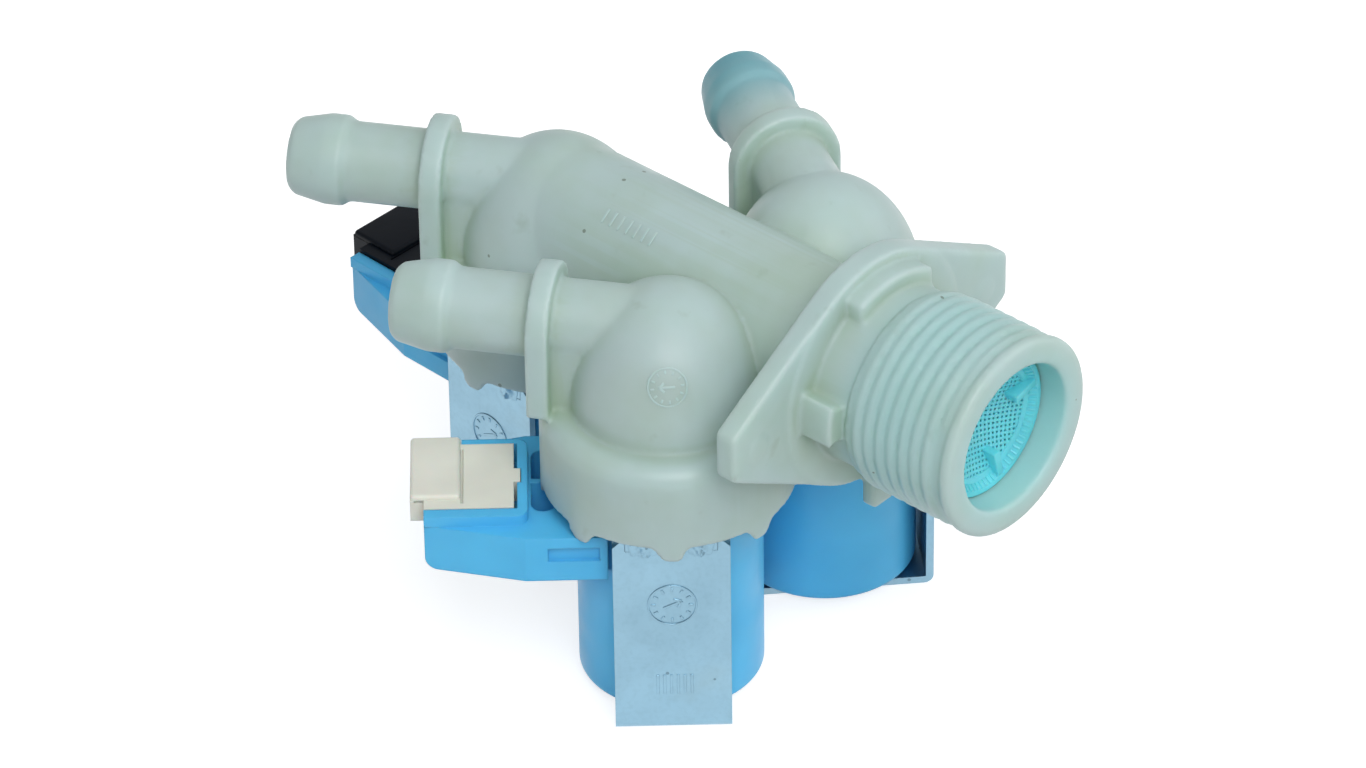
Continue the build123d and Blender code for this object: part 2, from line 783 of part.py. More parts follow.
def connector_cuts(unit):
    """Socket of the insert, opening for the plug, slot beside the cup and recesses."""
    open_end = housing_end + 1
    socket_end = surround_inner + surround_wall
    socket = (insert_far - socket_clearance, insert_near + socket_clearance)
    overhang_start = insert_overhang_from - socket_clearance
    tab_start = socket_end + insert_end_gap - insert_tab - socket_clearance
    tab = (insert_tab_far - socket_clearance, insert_tab_near + socket_clearance)
    above = surround_top_z + 1
    floor_z = insert_bottom_z - seat_gap
    block(unit, (socket_end, open_end), socket, (floor_z, above), Mode.SUBTRACT)
    block(unit, (overhang_start, open_end), (surround_far - 1, 0), (housing_top_z, above), Mode.SUBTRACT)
    block(unit, (tab_start, socket_end + 1), tab, (floor_z, above), Mode.SUBTRACT)
    block(unit, (plug_inner, open_end), (plug_far, plug_near), (plug_bottom_z, plug_top_z), Mode.SUBTRACT)
    slot_outer = surround_inner - slot_wall
    with BuildSketch(level(unit, unit[3], slot_floor_z)) as profile:
        with Locations(((slot_inner + slot_outer) / 2, (slot_far + slot_near) / 2)):
            SlotOverall(slot_near - slot_far, slot_outer - slot_inner, rotation=90)
            Rectangle(slot_outer - slot_inner, slot_rib, mode=Mode.SUBTRACT)
    extrude(profile.sketch, amount=housing_top_z - slot_floor_z, mode=Mode.SUBTRACT)
    recess = (side_recess_from, side_recess_to)
    recess_z = (side_recess_bottom_z, side_recess_top_z)
    recess_face = housing_half - side_recess_depth
    block(unit, recess, (recess_face, housing_half + 1), recess_z, Mode.SUBTRACT)
    block(unit, recess, (-housing_half - 1, -recess_face), recess_z, Mode.SUBTRACT)
    half_slot = terminal_width / 2 + moulding_clearance
    slot_z = (
        terminal_z - terminal_thick / 2 - moulding_clearance,
        terminal_z + terminal_thick / 2 + moulding_clearance,
    )
    for centre in terminal_places():
        beside = (centre - half_slot, centre + half_slot)
        block(unit, (plug_inner - terminal_embed, plug_inner + 1), beside, slot_z, Mode.SUBTRACT)


def terminal_places():
    """Sideways places of the two terminals in the plug opening."""
    middle = (plug_near + plug_far) / 2
    return (middle - terminal_pitch / 2, middle + terminal_pitch / 2)


def make_coil_housing(unit, name):
    """Moulding round the winding with the connector housing on its side."""
    with BuildPart() as housing:
        with BuildSketch(level(unit, unit[3], coil_bottom_z)):
            Circle(coil_r)
        extrude(amount=coil_top_z - coil_bottom_z)
        fillet(housing.edges().group_by(Axis.Z)[0], coil_bottom_edge_r)
        connector_housing(unit)
        end_point = heading(unit[3]) * housing_end + Vector(unit[0], unit[1], housing_bottom_z)
        fillet(housing.edges().sort_by_distance(end_point)[0], housing_edge_r)
        connector_cuts(unit)
        with BuildSketch(level(unit, unit[3], coil_bottom_z)):
            Circle(bobbin_tube_r + moulding_clearance)
        extrude(amount=coil_top_z - coil_bottom_z, mode=Mode.SUBTRACT)
        with BuildSketch(level(unit, unit[3], coil_bottom_z + coil_end_wall)):
            Circle(bobbin_flange_r + moulding_clearance)
        extrude(amount=coil_top_z - coil_bottom_z - 2 * coil_end_wall, mode=Mode.SUBTRACT)
    keep(housing, "coil_housing_" + name)


def make_insert(unit, name):
    """Insert that closes the top of the connector, with its overhanging end and tab."""
    inner = surround_inner + surround_wall + insert_end_gap
    end = unit[4]
    top = unit[5]
    with BuildPart() as insert:
        block(unit, (inner, housing_end), (insert_far, insert_near), (insert_bottom_z, top))
        over_foot = housing_top_z + seat_gap
        side = (insert_overhang_far, insert_overhang_near)
        block(unit, (insert_overhang_from, housing_end), side, (over_foot, top))
        block(unit, (housing_end, end), side, (insert_bottom_z, top))
        tab = (insert_tab_far, insert_tab_near)
        block(unit, (inner - insert_tab, inner), tab, (insert_bottom_z, top))
        groove = (insert_overhang_from - insert_groove, insert_overhang_from)
        groove_side = (insert_far + 1, insert_near - 1)
        block(unit, groove, groove_side, (top - insert_groove, top), Mode.SUBTRACT)
    keep(insert, "connector_insert_" + name)


def make_terminals(unit, name):
    """The two blade terminals in the plug opening, one piece each."""
    heights = (terminal_z - terminal_thick / 2, terminal_z + terminal_thick / 2)
    along = (plug_inner - terminal_embed + moulding_clearance, housing_end - terminal_setback)
    for centre, place in zip(terminal_places(), ("a", "b")):
        with BuildPart() as terminal:
            beside = (centre - terminal_width / 2, centre + terminal_width / 2)
            block(unit, along, beside, heights)
        keep(terminal, "terminal_" + place + "_" + name)


def make_unit(unit, name):
    """Everything below one dome."""
    make_diaphragm(unit, name)
    make_diaphragm_insert(unit, name)
    make_cover(unit, name)
    make_plunger(unit, name)
    make_plunger_tip(unit, name)
    make_spring(unit, name)
    make_bracket(unit, name)
    make_yoke_plate(unit, name)
    make_sleeve(unit, name)
    make_bobbin(unit, name)
    make_winding(unit, name)
    make_coil_housing(unit, name)
    make_insert(unit, name)
    make_terminals(unit, name)


os.makedirs("parts", exist_ok=True)
keep(body, "body")
make_filter()
make_restrictor(UNITS["side"])
for unit_name, unit_values in UNITS.items():
    make_unit(unit_values, unit_name)
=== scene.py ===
"""Looks of the washing machine inlet valve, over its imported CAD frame."""

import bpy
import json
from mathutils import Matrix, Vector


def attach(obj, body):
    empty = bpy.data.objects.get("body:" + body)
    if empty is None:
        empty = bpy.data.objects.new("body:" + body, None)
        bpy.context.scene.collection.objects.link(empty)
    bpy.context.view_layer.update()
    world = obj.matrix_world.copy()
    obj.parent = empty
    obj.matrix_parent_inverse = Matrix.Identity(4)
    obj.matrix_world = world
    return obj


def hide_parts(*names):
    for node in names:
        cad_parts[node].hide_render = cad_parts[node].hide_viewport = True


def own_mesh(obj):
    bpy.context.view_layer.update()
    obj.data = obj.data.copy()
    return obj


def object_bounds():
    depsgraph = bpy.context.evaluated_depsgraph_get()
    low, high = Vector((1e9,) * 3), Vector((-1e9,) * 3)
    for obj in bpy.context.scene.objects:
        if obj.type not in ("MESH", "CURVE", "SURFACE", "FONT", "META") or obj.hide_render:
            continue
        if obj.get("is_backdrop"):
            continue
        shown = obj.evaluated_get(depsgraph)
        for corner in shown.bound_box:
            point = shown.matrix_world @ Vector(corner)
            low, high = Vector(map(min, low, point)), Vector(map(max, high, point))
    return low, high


bl_info = {
    "name": "Inlet valve",
    "version": (1, 0, 0),
    "blender": (4, 5, 0),
    "location": "View3D > Sidebar > Valve",
    "description": "Dresses a three outlet solenoid valve with its thread, filter mesh and finishes",
    "category": "Object",
}

import json
import math

import bmesh
import bpy
from mathutils import Matrix, Vector
from mathutils.bvhtree import BVHTree

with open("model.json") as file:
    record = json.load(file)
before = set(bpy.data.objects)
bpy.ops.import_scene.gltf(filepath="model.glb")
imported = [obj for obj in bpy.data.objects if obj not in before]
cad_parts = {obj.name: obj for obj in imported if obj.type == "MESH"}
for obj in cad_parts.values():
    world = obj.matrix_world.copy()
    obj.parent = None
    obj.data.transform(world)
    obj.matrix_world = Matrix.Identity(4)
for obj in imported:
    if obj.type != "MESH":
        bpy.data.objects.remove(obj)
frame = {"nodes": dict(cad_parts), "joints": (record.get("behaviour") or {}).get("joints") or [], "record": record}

MM = 0.001
ROOT_BODY = "valve_body"
UNITS = ("front", "side", "rear")
# X and Y of each unit's axis and the end and top of its connector insert in mm,
# with the headings of its barb, connector and outer bracket leg in degrees
AXES = {"front": (-14.9, 26.6), "side": (14.9, 26.6), "rear": (0.0, 58.2)}
BARBS = {"front": 120.0, "side": 60.0, "rear": 120.0}
CONNECTORS = {"front": 132.5, "side": 47.5, "rear": 87.5}
LEGS = {"front": 222.5, "side": 317.5, "rear": 177.5}
INSERT_ENDS = {"front": 32.2, "side": 32.2, "rear": 33.4}
INSERT_TOPS = {"front": -17.9, "side": -17.9, "rear": -17.5}
BARB_Z = 4.2 * MM
# Middle of the mouth, where the filter shows through, and of the tip over the restrictor
MOUTH = (0, -7.5 * MM, 0)
SIDE_TIP = (31.5 * MM, 55.4 * MM, BARB_Z)
# Turn of the filter's fins and mesh about the inlet, in degrees
FILTER_TURN = 13
# Width of the filter's flat rim
RIM_WIDTH = 0.85 * MM
# Centre in mm and outward direction of the marks on the moulding
DOME_MARK = ((-22.67, 19.65, 3.02), (-0.666, -0.596, 0.45))
MANIFOLD_MARK = ((-5.6, 41.0, 8.04), (-0.571, 0, 0.821))
# Place across and width in mm, and shift of the waves, of each staked dent
CRIMPS = ((-3.5, 3.5, 0.4), (3.6, 3.2, 2.1))
# Place and width in metres and power in watts of each lamp
LAMPS = {
    "key lamp": ((-0.6, -0.75, 1.1), 0.9, 12.5),
    "fill lamp": ((-1.1, 0.35, 0.5), 0.8, 0.8),
    "right lamp": ((0.9, -0.75, 0.6), 0.8, 3.0),
}


# Sizes and colours that a user would change


def length(name, description, millimetres):
    """A length property in metres with its default given in millimetres."""
    return bpy.props.FloatProperty(
        name=name, description=description, default=millimetres * MM, unit="LENGTH", precision=5
    )


def colour(name, description, red, green, blue):
    """A colour property, its default given as the 0 to 255 values seen on screen."""
    return bpy.props.FloatVectorProperty(
        name=name,
        description=description,
        default=tuple(linear(value) for value in (red, green, blue)),
        size=3,
        subtype="COLOR",
        min=0,
        max=1,
    )


def linear(value):
    """A 0 to 255 screen value as linear light."""
    share = value / 255
    if share <= 0.04045:
        return share / 12.92
    return ((share + 0.055) / 1.055) ** 2.4


class ThreadSizes(bpy.types.PropertyGroup):
    """Hose thread on the inlet."""

    pitch: length("Pitch", "Advance of the thread in one turn", 1.814)
    crest: length("Crest radius", "Outer radius of the thread", 13.1)
    root: length("Root radius", "Radius at the bottom of the groove", 12.6)
    start: length("Start", "Station of the shoulder behind the thread", 0.0)
    end: length("End", "Station where the groove runs out into the plain ring", -14.9)
    ring: length("Ring", "Station of the plain ring at the mouth", -15.4)
    voxel: length("Detail", "Size of the smallest form kept in the moulding", 0.33)


class FilterSizes(bpy.types.PropertyGroup):
    """Screen filter in the inlet."""

    front: length("Front", "Station of the front face of the rim", -12.8)
    rim: length("Rim radius", "Outer radius of the rim", 9.55)
    skirt: length("Skirt radius", "Outer radius of the skirt behind the rim", 9.15)
    wall: length("Wall", "Thickness of the skirt", 0.7)
    back: length("Back", "Station of the end of the skirt", 3.55)
    screen: length("Screen radius", "Outer radius of the screen", 8.1)
    edge: length("Screen edge", "Station of the screen at its edge", -12.0)
    centre: length("Screen centre", "Station of the screen at its centre", -9.5)
    hole: length("Mesh pitch", "Distance between two holes of the mesh", 0.62)
    bar: length("Bar", "Width of the bars between the holes", 0.34)
    fin_inner: length("Fin start", "Radius where the grip fins start", 4.9)
    fin_thick: length("Fin thickness", "Thickness of a grip fin", 1.1)


class MarkSizes(bpy.types.PropertyGroup):
    """Stamped and moulded marks."""

    leg_face: length("Leg face", "Distance of the bracket's outer face from its coil's axis", 13.15)
    line: length("Line", "Width of a raised line", 0.36)
    dial: length("Dial", "Radius of the date dial", 3.0)
    dial_z: length("Dial height", "Height of the dial's centre", -28.3)
    tally_z: length("Tally height", "Height of the middle of the tally bars", -40.8)
    crimp_z: length("Dent height", "Height of the middle of the staked dents", -19.55)


class Colours(bpy.types.PropertyGroup):
    """Base colours of the finishes."""

    nylon: colour("Nylon", "Milky moulded body", 185, 207, 205)
    nylon_tint: colour("Nylon by the filter", "Body with coloured plastic behind it", 158, 214, 214)
    nylon_tip: colour("Nylon over the restrictor", "Body at the tip of the side outlet", 104, 170, 184)
    # Olive patches, scuffs and specks, and the painted shade in the body's creases
    nylon_olive_and_shade: colour("Nylon in creases", "Tone of the body in its creases", 165, 187, 162)
    coil: colour("Coil", "Blue coil moulding", 88, 198, 252)
    steel: colour("Steel", "Zinc plated sheet", 146, 182, 201)
    cream: colour("Cream cap", "Connector insert of the front coil", 242, 241, 229)
    black: colour("Black cap", "Connector insert of the rear coil", 6, 15, 26)
    filter: colour("Filter", "Basket and flow restrictor", 112, 224, 236)
    rubber: colour("Rubber", "Diaphragms and plunger tips", 34, 34, 35)
    copper: colour("Copper", "Enamelled winding", 176, 98, 58)
    stainless: colour("Stainless", "Plungers and springs", 190, 190, 188)
    tin: colour("Tin", "Terminals", 200, 196, 184)


# Node groups shared by the finishes


def new_group(name, inputs, outputs):
    """An empty shader node group with its sockets."""
    group = bpy.data.node_groups.new(name, "ShaderNodeTree")
    for socket, kind, default in inputs:
        made = group.interface.new_socket(socket, in_out="INPUT", socket_type=kind)
        if default is not None:
            made.default_value = default
    for socket, kind in outputs:
        group.interface.new_socket(socket, in_out="OUTPUT", socket_type=kind)
    return group, group.nodes.new("NodeGroupInput"), group.nodes.new("NodeGroupOutput")


def grain_group():
    """Fine uneven surface of a moulding, as a height."""
    group, source, result = new_group(
        "Moulding grain",
        [
            ("Vector", "NodeSocketVector", None),
            ("Scale", "NodeSocketFloat", 900.0),
            ("Coarse share", "NodeSocketFloat", 0.5),
        ],
        [("Height", "NodeSocketFloat")],
    )
    nodes, links = group.nodes, group.links
    fine = nodes.new("ShaderNodeTexNoise")
    fine.inputs["Detail"].default_value = 4
    links.new(source.outputs["Vector"], fine.inputs["Vector"])
    links.new(source.outputs["Scale"], fine.inputs["Scale"])
    wide = nodes.new("ShaderNodeTexNoise")
    wide.inputs["Scale"].default_value = 160
    wide.inputs["Detail"].default_value = 2
    links.new(source.outputs["Vector"], wide.inputs["Vector"])
    mix = nodes.new("ShaderNodeMix")
    links.new(source.outputs["Coarse share"], mix.inputs["Factor"])
    links.new(fine.outputs["Fac"], mix.inputs["A"])
    links.new(wide.outputs["Fac"], mix.inputs["B"])
    links.new(mix.outputs["Result"], result.inputs["Height"])
    return group


def cloud_group():
    """Slow change of tone over a surface, as a mask."""
    group, source, result = new_group(
        "Slow clouds",
        [
            ("Vector", "NodeSocketVector", None),
            ("Scale", "NodeSocketFloat", 60.0),
            ("From", "NodeSocketFloat", 0.35),
            ("To", "NodeSocketFloat", 0.65),
        ],
        [("Mask", "NodeSocketFloat")],
    )
    nodes, links = group.nodes, group.links
    noise = nodes.new("ShaderNodeTexNoise")
    noise.inputs["Detail"].default_value = 3
    links.new(source.outputs["Vector"], noise.inputs["Vector"])
    links.new(source.outputs["Scale"], noise.inputs["Scale"])
    ramp = nodes.new("ShaderNodeMapRange")
    links.new(noise.outputs["Fac"], ramp.inputs["Value"])
    links.new(source.outputs["From"], ramp.inputs["From Min"])
    links.new(source.outputs["To"], ramp.inputs["From Max"])
    links.new(ramp.outputs["Result"], result.inputs["Mask"])
    return group


def speck_group():
    """Scattered small specks, as a mask."""
    group, source, result = new_group(
        "Small specks",
        [
            ("Vector", "NodeSocketVector", None),
            ("Scale", "NodeSocketFloat", 350.0),
            ("Size", "NodeSocketFloat", 0.12),
            ("Share", "NodeSocketFloat", 0.6),
        ],
        [("Mask", "NodeSocketFloat")],
    )
    nodes, links = group.nodes, group.links
    cells = nodes.new("ShaderNodeTexVoronoi")
    links.new(source.outputs["Vector"], cells.inputs["Vector"])
    links.new(source.outputs["Scale"], cells.inputs["Scale"])
    near = nodes.new("ShaderNodeMath")
    near.operation = "LESS_THAN"
    links.new(cells.outputs["Distance"], near.inputs[0])
    links.new(source.outputs["Size"], near.inputs[1])
    chosen = nodes.new("ShaderNodeMath")
    chosen.operation = "GREATER_THAN"
    split = nodes.new("ShaderNodeSeparateColor")
    links.new(cells.outputs["Color"], split.inputs["Color"])
    links.new(split.outputs["Red"], chosen.inputs[0])
    links.new(source.outputs["Share"], chosen.inputs[1])
    both = nodes.new("ShaderNodeMath")
    both.operation = "MULTIPLY"
    links.new(near.outputs["Value"], both.inputs[0])
    links.new(chosen.outputs["Value"], both.inputs[1])
    links.new(both.outputs["Value"], result.inputs["Mask"])
    return group


def near_group():
    """Closeness to a point, as a mask."""
    group, source, result = new_group(
        "Near a point",
        [
            ("Vector", "NodeSocketVector", None),
            ("Centre", "NodeSocketVector", (0, 0, 0)),
            ("Inner", "NodeSocketFloat", 0.005),
            ("Outer", "NodeSocketFloat", 0.01),
        ],
        [("Mask", "NodeSocketFloat")],
    )
    nodes, links = group.nodes, group.links
    far = nodes.new("ShaderNodeVectorMath")
    far.operation = "DISTANCE"
    links.new(source.outputs["Vector"], far.inputs[0])
    links.new(source.outputs["Centre"], far.inputs[1])
    ramp = nodes.new("ShaderNodeMapRange")
    ramp.interpolation_type = "SMOOTHSTEP"
    links.new(far.outputs["Value"], ramp.inputs["Value"])
    links.new(source.outputs["Inner"], ramp.inputs["From Min"])
    links.new(source.outputs["Outer"], ramp.inputs["From Max"])
    ramp.inputs["To Min"].default_value = 1.0
    ramp.inputs["To Max"].default_value = 0.0
    links.new(ramp.outputs["Result"], result.inputs["Mask"])
    return group


class Finish:
    """A material under way: its Principled shader and the nodes that feed it."""

    def __init__(self, name, groups):
        self.material = bpy.data.materials.new(name)
        self.material.use_nodes = True
        self.nodes = self.material.node_tree.nodes
        self.links = self.material.node_tree.links
        self.nodes.clear()
        self.groups = groups
        output = self.nodes.new("ShaderNodeOutputMaterial")
        self.shader = self.nodes.new("ShaderNodeBsdfPrincipled")
        self.links.new(self.shader.outputs["BSDF"], output.inputs["Surface"])
        self.place = self.nodes.new("ShaderNodeTexCoord").outputs["Object"]

    def set(self, **values):
        """Constants on the shader's own sockets, named with underscores for spaces."""
        for name, value in values.items():
            self.shader.inputs[name.replace("_", " ")].default_value = value

    def group(self, name, **values):
        """The result of a shared group, fed with Object coordinates."""
        node = self.nodes.new("ShaderNodeGroup")
        node.node_tree = self.groups[name]
        self.links.new(self.place, node.inputs["Vector"])
        for socket, value in values.items():
            node.inputs[socket.replace("_", " ")].default_value = value
        return node.outputs[0]

    def mix(self, mask, low, high):
        """Colour low where the mask is 0 and high where it is 1."""
        node = self.nodes.new("ShaderNodeMix")
        node.data_type = "RGBA"
        self.feed(mask, node.inputs["Factor"])
        self.feed(low, node.inputs[6])
        self.feed(high, node.inputs[7])
        return node.outputs[2]

    def range(self, value, low, high):
        """A mask from 0 to 1 spread between two values."""
        node = self.nodes.new("ShaderNodeMapRange")
        self.feed(value, node.inputs["Value"])
        node.inputs["To Min"].default_value = low
        node.inputs["To Max"].default_value = high
        return node.outputs["Result"]

    def scaled(self, mask, share):
        """The mask times a share."""
        return self.range(mask, 0.0, share)

    def attribute(self, name):
        """A value stored on the mesh."""
        node = self.nodes.new("ShaderNodeAttribute")
        node.attribute_name = name
        return node.outputs["Fac"]

    def creases(self, reach, darkest):
        """Mask of the places hidden from open space, from 0 in the open to 1 deep in, for painted shade."""
        node = self.nodes.new("ShaderNodeAmbientOcclusion")
        node.samples = 4
        node.inputs["Distance"].default_value = reach
        spread = self.nodes.new("ShaderNodeMapRange")
        self.links.new(node.outputs["AO"], spread.inputs["Value"])
        spread.inputs["From Min"].default_value = 1.0
        spread.inputs["From Max"].default_value = darkest
        return spread.outputs["Result"]

    def feed(self, value, socket):
        """A link or a constant into a socket."""
        if isinstance(value, bpy.types.NodeSocket):
            self.links.new(value, socket)
        elif isinstance(value, (int, float)):
            socket.default_value = value
        else:
            socket.default_value = (*value[:3], 1.0)

    def bump(self, height, distance, strength, edge=0.0):
        """Bump on the shader's normal, over edges softened by a radius."""
        node = self.nodes.new("ShaderNodeBump")
        node.inputs["Distance"].default_value = distance
        node.inputs["Strength"].default_value = strength
        self.links.new(height, node.inputs["Height"])
        if edge:
            soft = self.nodes.new("ShaderNodeBevel")
            soft.samples = 4
            soft.inputs["Radius"].default_value = edge
            self.links.new(soft.outputs["Normal"], node.inputs["Normal"])
        self.links.new(node.outputs["Normal"], self.shader.inputs["Normal"])

    def base(self, value):
        """Colour of the shader."""
        self.feed(value, self.shader.inputs["Base Color"])

    def roughness(self, value):
        """Roughness of the shader."""
        self.feed(value, self.shader.inputs["Roughness"])


# Finishes


def shade(rgb, factor):
    """A colour made lighter or darker."""
    return tuple(min(1.0, channel * factor) for channel in rgb)


def nylon_finish(groups, colours):
    """Milky moulded nylon, a little translucent, with painted shade, darker and olive, in its creases."""
    finish = Finish("milky nylon", groups)
    tone = finish.mix(
        finish.group("cloud", Scale=45.0, From=0.3, To=0.7),
        shade(colours.nylon, 0.95),
        shade(colours.nylon, 1.05),
    )
    olive = finish.group("cloud", Scale=85.0, From=0.42, To=0.68)
    tone = finish.mix(finish.scaled(olive, 0.3), tone, colours.nylon_olive_and_shade)
    scuffs = finish.group("cloud", Scale=260.0, From=0.66, To=0.78)
    tone = finish.mix(finish.scaled(scuffs, 0.22), tone, shade(colours.nylon_olive_and_shade, 0.6))
    # Painted shade: darker and more olive where the stored crease value says the body is hidden
    tone = finish.mix(finish.range(finish.attribute("crease"), 0.0, 1.5), tone, colours.nylon_olive_and_shade)
    mouth = finish.group("near", Centre=MOUTH, Inner=11.5 * MM, Outer=16.5 * MM)
    tone = finish.mix(finish.scaled(mouth, 0.6), tone, colours.nylon_tint)
    tip = finish.group("near", Centre=SIDE_TIP, Inner=4 * MM, Outer=16 * MM)
    tone = finish.mix(tip, tone, colours.nylon_tip)
    specks = finish.group("speck", Scale=260.0, Size=0.07, Share=0.86)
    tone = finish.mix(finish.scaled(specks, 0.7), tone, shade(colours.nylon_olive_and_shade, 0.35))
    finish.base(tone)
    finish.set(Subsurface_Weight=0.5, Subsurface_Scale=5 * MM, Specular_IOR_Level=0.42)
    finish.shader.inputs["Subsurface Radius"].default_value = (0.8, 1.0, 0.9)
    finish.roughness(finish.range(finish.group("cloud", Scale=140.0), 0.34, 0.48))
    finish.bump(finish.group("grain", Scale=750.0, Coarse_share=0.55), 0.06 * MM, 0.5)
    return finish.material


def plastic_finish(groups, name, rgb, rough=0.42, edge=0.3, gloss=0.45):
    """Moulded plastic in one tone with a fine grain, over edges softened by a radius in mm."""
    finish = Finish(name, groups)
    tone = finish.mix(finish.group("cloud", Scale=70.0), shade(rgb, 0.93), shade(rgb, 1.05))
    # Painted shade: darker where the part is hidden from open space
    tone = finish.mix(finish.scaled(finish.creases(3 * MM, 0.2), 0.35), tone, shade(rgb, 0.55))
    specks = finish.group("speck", Scale=420.0, Size=0.07, Share=0.93)
    tone = finish.mix(finish.scaled(specks, 0.35), tone, shade(rgb, 0.4))
    finish.base(tone)
    finish.set(Subsurface_Weight=0.12, Subsurface_Scale=1.0 * MM, Specular_IOR_Level=gloss)
    finish.roughness(finish.range(finish.group("cloud", Scale=160.0), rough - 0.06, rough + 0.08))
    finish.bump(finish.group("grain", Scale=1000.0, Coarse_share=0.4), 0.05 * MM, 0.5, edge * MM)
    return finish.material


def zinc_finish(groups, colours):
    """Zinc plated sheet steel: bluish silver with a speckled sheen and fine scratches."""
    finish = Finish("zinc plated steel", groups)
    steel = colours.steel
    tone = finish.mix(finish.group("cloud", Scale=110.0), shade(steel, 0.94), shade(steel, 1.04))
    spangle = finish.group("cloud", Scale=1400.0, From=0.45, To=0.7)
    tone = finish.mix(finish.scaled(spangle, 0.14), tone, shade(steel, 0.6))
    warm = finish.group("cloud", Scale=75.0, From=0.58, To=0.75)
    straw = (steel[0] * 1.25, steel[1], steel[2] * 0.82)
    tone = finish.mix(finish.scaled(warm, 0.3), tone, straw)
    stains = finish.group("speck", Scale=520.0, Size=0.12, Share=0.95)
    tone = finish.mix(finish.scaled(stains, 0.6), tone, shade(steel, 0.3))
    finish.base(tone)
    finish.set(Metallic=1.0)
    finish.roughness(finish.range(finish.group("cloud", Scale=300.0), 0.3, 0.42))
    finish.bump(finish.group("grain", Scale=1600.0, Coarse_share=0.6), 0.02 * MM, 0.4, 0.15 * MM)
    return finish.material


def metal_finish(groups, name, rgb, rough):
    """Plain machined or drawn metal."""
    finish = Finish(name, groups)
    tone = finish.mix(finish.group("cloud", Scale=200.0), shade(rgb, 0.85), shade(rgb, 1.05))
    finish.base(tone)
    finish.set(Metallic=1.0)
    finish.roughness(finish.range(finish.group("cloud", Scale=700.0), rough - 0.05, rough + 0.1))
    finish.bump(finish.group("grain", Scale=1800.0, Coarse_share=0.2), 0.02 * MM, 0.5, 0.1 * MM)
    return finish.material


def rubber_finish(groups, colours):
    """Matt moulded rubber."""
    finish = Finish("moulded rubber", groups)
    dust = finish.group("cloud", Scale=90.0)
    finish.base(finish.mix(dust, colours.rubber, shade(colours.rubber, 1.6)))
    finish.roughness(finish.range(dust, 0.6, 0.8))
    finish.bump(finish.group("grain", Scale=1200.0, Coarse_share=0.3), 0.03 * MM, 0.5, 0.2 * MM)
    return finish.material


def filter_finish(groups, colours):
    """Glossy translucent cyan plastic."""
    finish = Finish("cyan filter plastic", groups)
    tone = finish.mix(
        finish.group("cloud", Scale=80.0), shade(colours.filter, 0.9), shade(colours.filter, 1.08)
    )
    finish.base(tone)
    finish.set(Subsurface_Weight=0.25, Subsurface_Scale=1.5 * MM)
    finish.roughness(finish.range(finish.group("cloud", Scale=200.0), 0.3, 0.4))
    finish.bump(finish.group("grain", Scale=900.0, Coarse_share=0.4), 0.03 * MM, 0.4, 0.15 * MM)
    return finish.material


def make_finishes(colours):
    """All the finishes, by the name of the record's slot."""
    groups = {
        "grain": grain_group(),
        "cloud": cloud_group(),
        "speck": speck_group(),
        "near": near_group(),
    }
    bobbin = linear(226), linear(220), linear(204)
    return {
        "body_nylon": nylon_finish(groups, colours),
        "nylon_mark": plastic_finish(groups, "raised nylon", shade(colours.nylon, 1.1), 0.42, 0.1),
        "insert_plastic": plastic_finish(groups, "insert plastic", bobbin),
        "filter_plastic": filter_finish(groups, colours),
        "coil_plastic": plastic_finish(groups, "blue coil plastic", colours.coil, 0.4),
        "bobbin_plastic": plastic_finish(groups, "bobbin plastic", bobbin),
        "cap_cream": plastic_finish(groups, "cream cap plastic", colours.cream, 0.45, 0.2),
        "cap_black": plastic_finish(groups, "black cap plastic", colours.black, 0.42, 0.2, 0.2),
        "copper": metal_finish(groups, "enamelled copper", colours.copper, 0.35),
        "zinc_steel": zinc_finish(groups, colours),
        "stainless": metal_finish(groups, "ground stainless", colours.stainless, 0.25),
        "tin_brass": metal_finish(groups, "tinned brass", colours.tin, 0.3),
        "rubber": rubber_finish(groups, colours),
    }


FINISHES = {}


def node_slots():
    """The record's material slot of each CAD node."""
    return {part["node"]: part["material_slot"] for part in frame["record"]["subparts"]}


def dress(piece, slot):
    """Gives a piece one finish."""
    piece.data.materials.clear()
    piece.data.materials.append(FINISHES[slot])


# Mesh helpers


def finished_piece(mesh, name, slot, replaced=(), smooth_deg=35):
    """A new object from a bmesh, smooth up to an angle, riding on the valve body."""
    data = bpy.data.meshes.new(name)
    mesh.to_mesh(data)
    mesh.free()
    data.shade_smooth()
    data.set_sharp_from_angle(angle=math.radians(smooth_deg))
    return new_piece(data, name, slot, replaced)


def new_piece(data, name, slot, replaced=()):
    """A new object from a mesh, in one finish, riding on the valve body."""
    piece = bpy.data.objects.new(name, data)
    bpy.context.scene.collection.objects.link(piece)
    dress(piece, slot)
    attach(piece, ROOT_BODY)
    if replaced:
        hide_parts(*replaced)
    return piece


def merged_copy(node):
    """A CAD node's mesh as a bmesh, its loose triangles joined."""
    mesh = bmesh.new()
    mesh.from_mesh(frame["nodes"][node].data)
    bmesh.ops.remove_doubles(mesh, verts=mesh.verts, dist=0.002 * MM)
    return mesh


def face_outwards(mesh):
    """Turns all faces of closed shapes outwards."""
    bmesh.ops.recalc_face_normals(mesh, faces=mesh.faces)


def lathe(mesh, profile, steps, axis=(0, 1, 0), centre=(0, 0, 0)):
    """Full turn of an outline of points round an axis."""
    points = [mesh.verts.new(point) for point in profile]
    edges = [mesh.edges.new(pair) for pair in zip(points, points[1:])]
    bmesh.ops.spin(
        mesh,
        geom=points + edges,
        cent=centre,
        axis=axis,
        angle=math.tau,
        steps=steps,
        use_merge=True,
    )


# Body with its hose thread


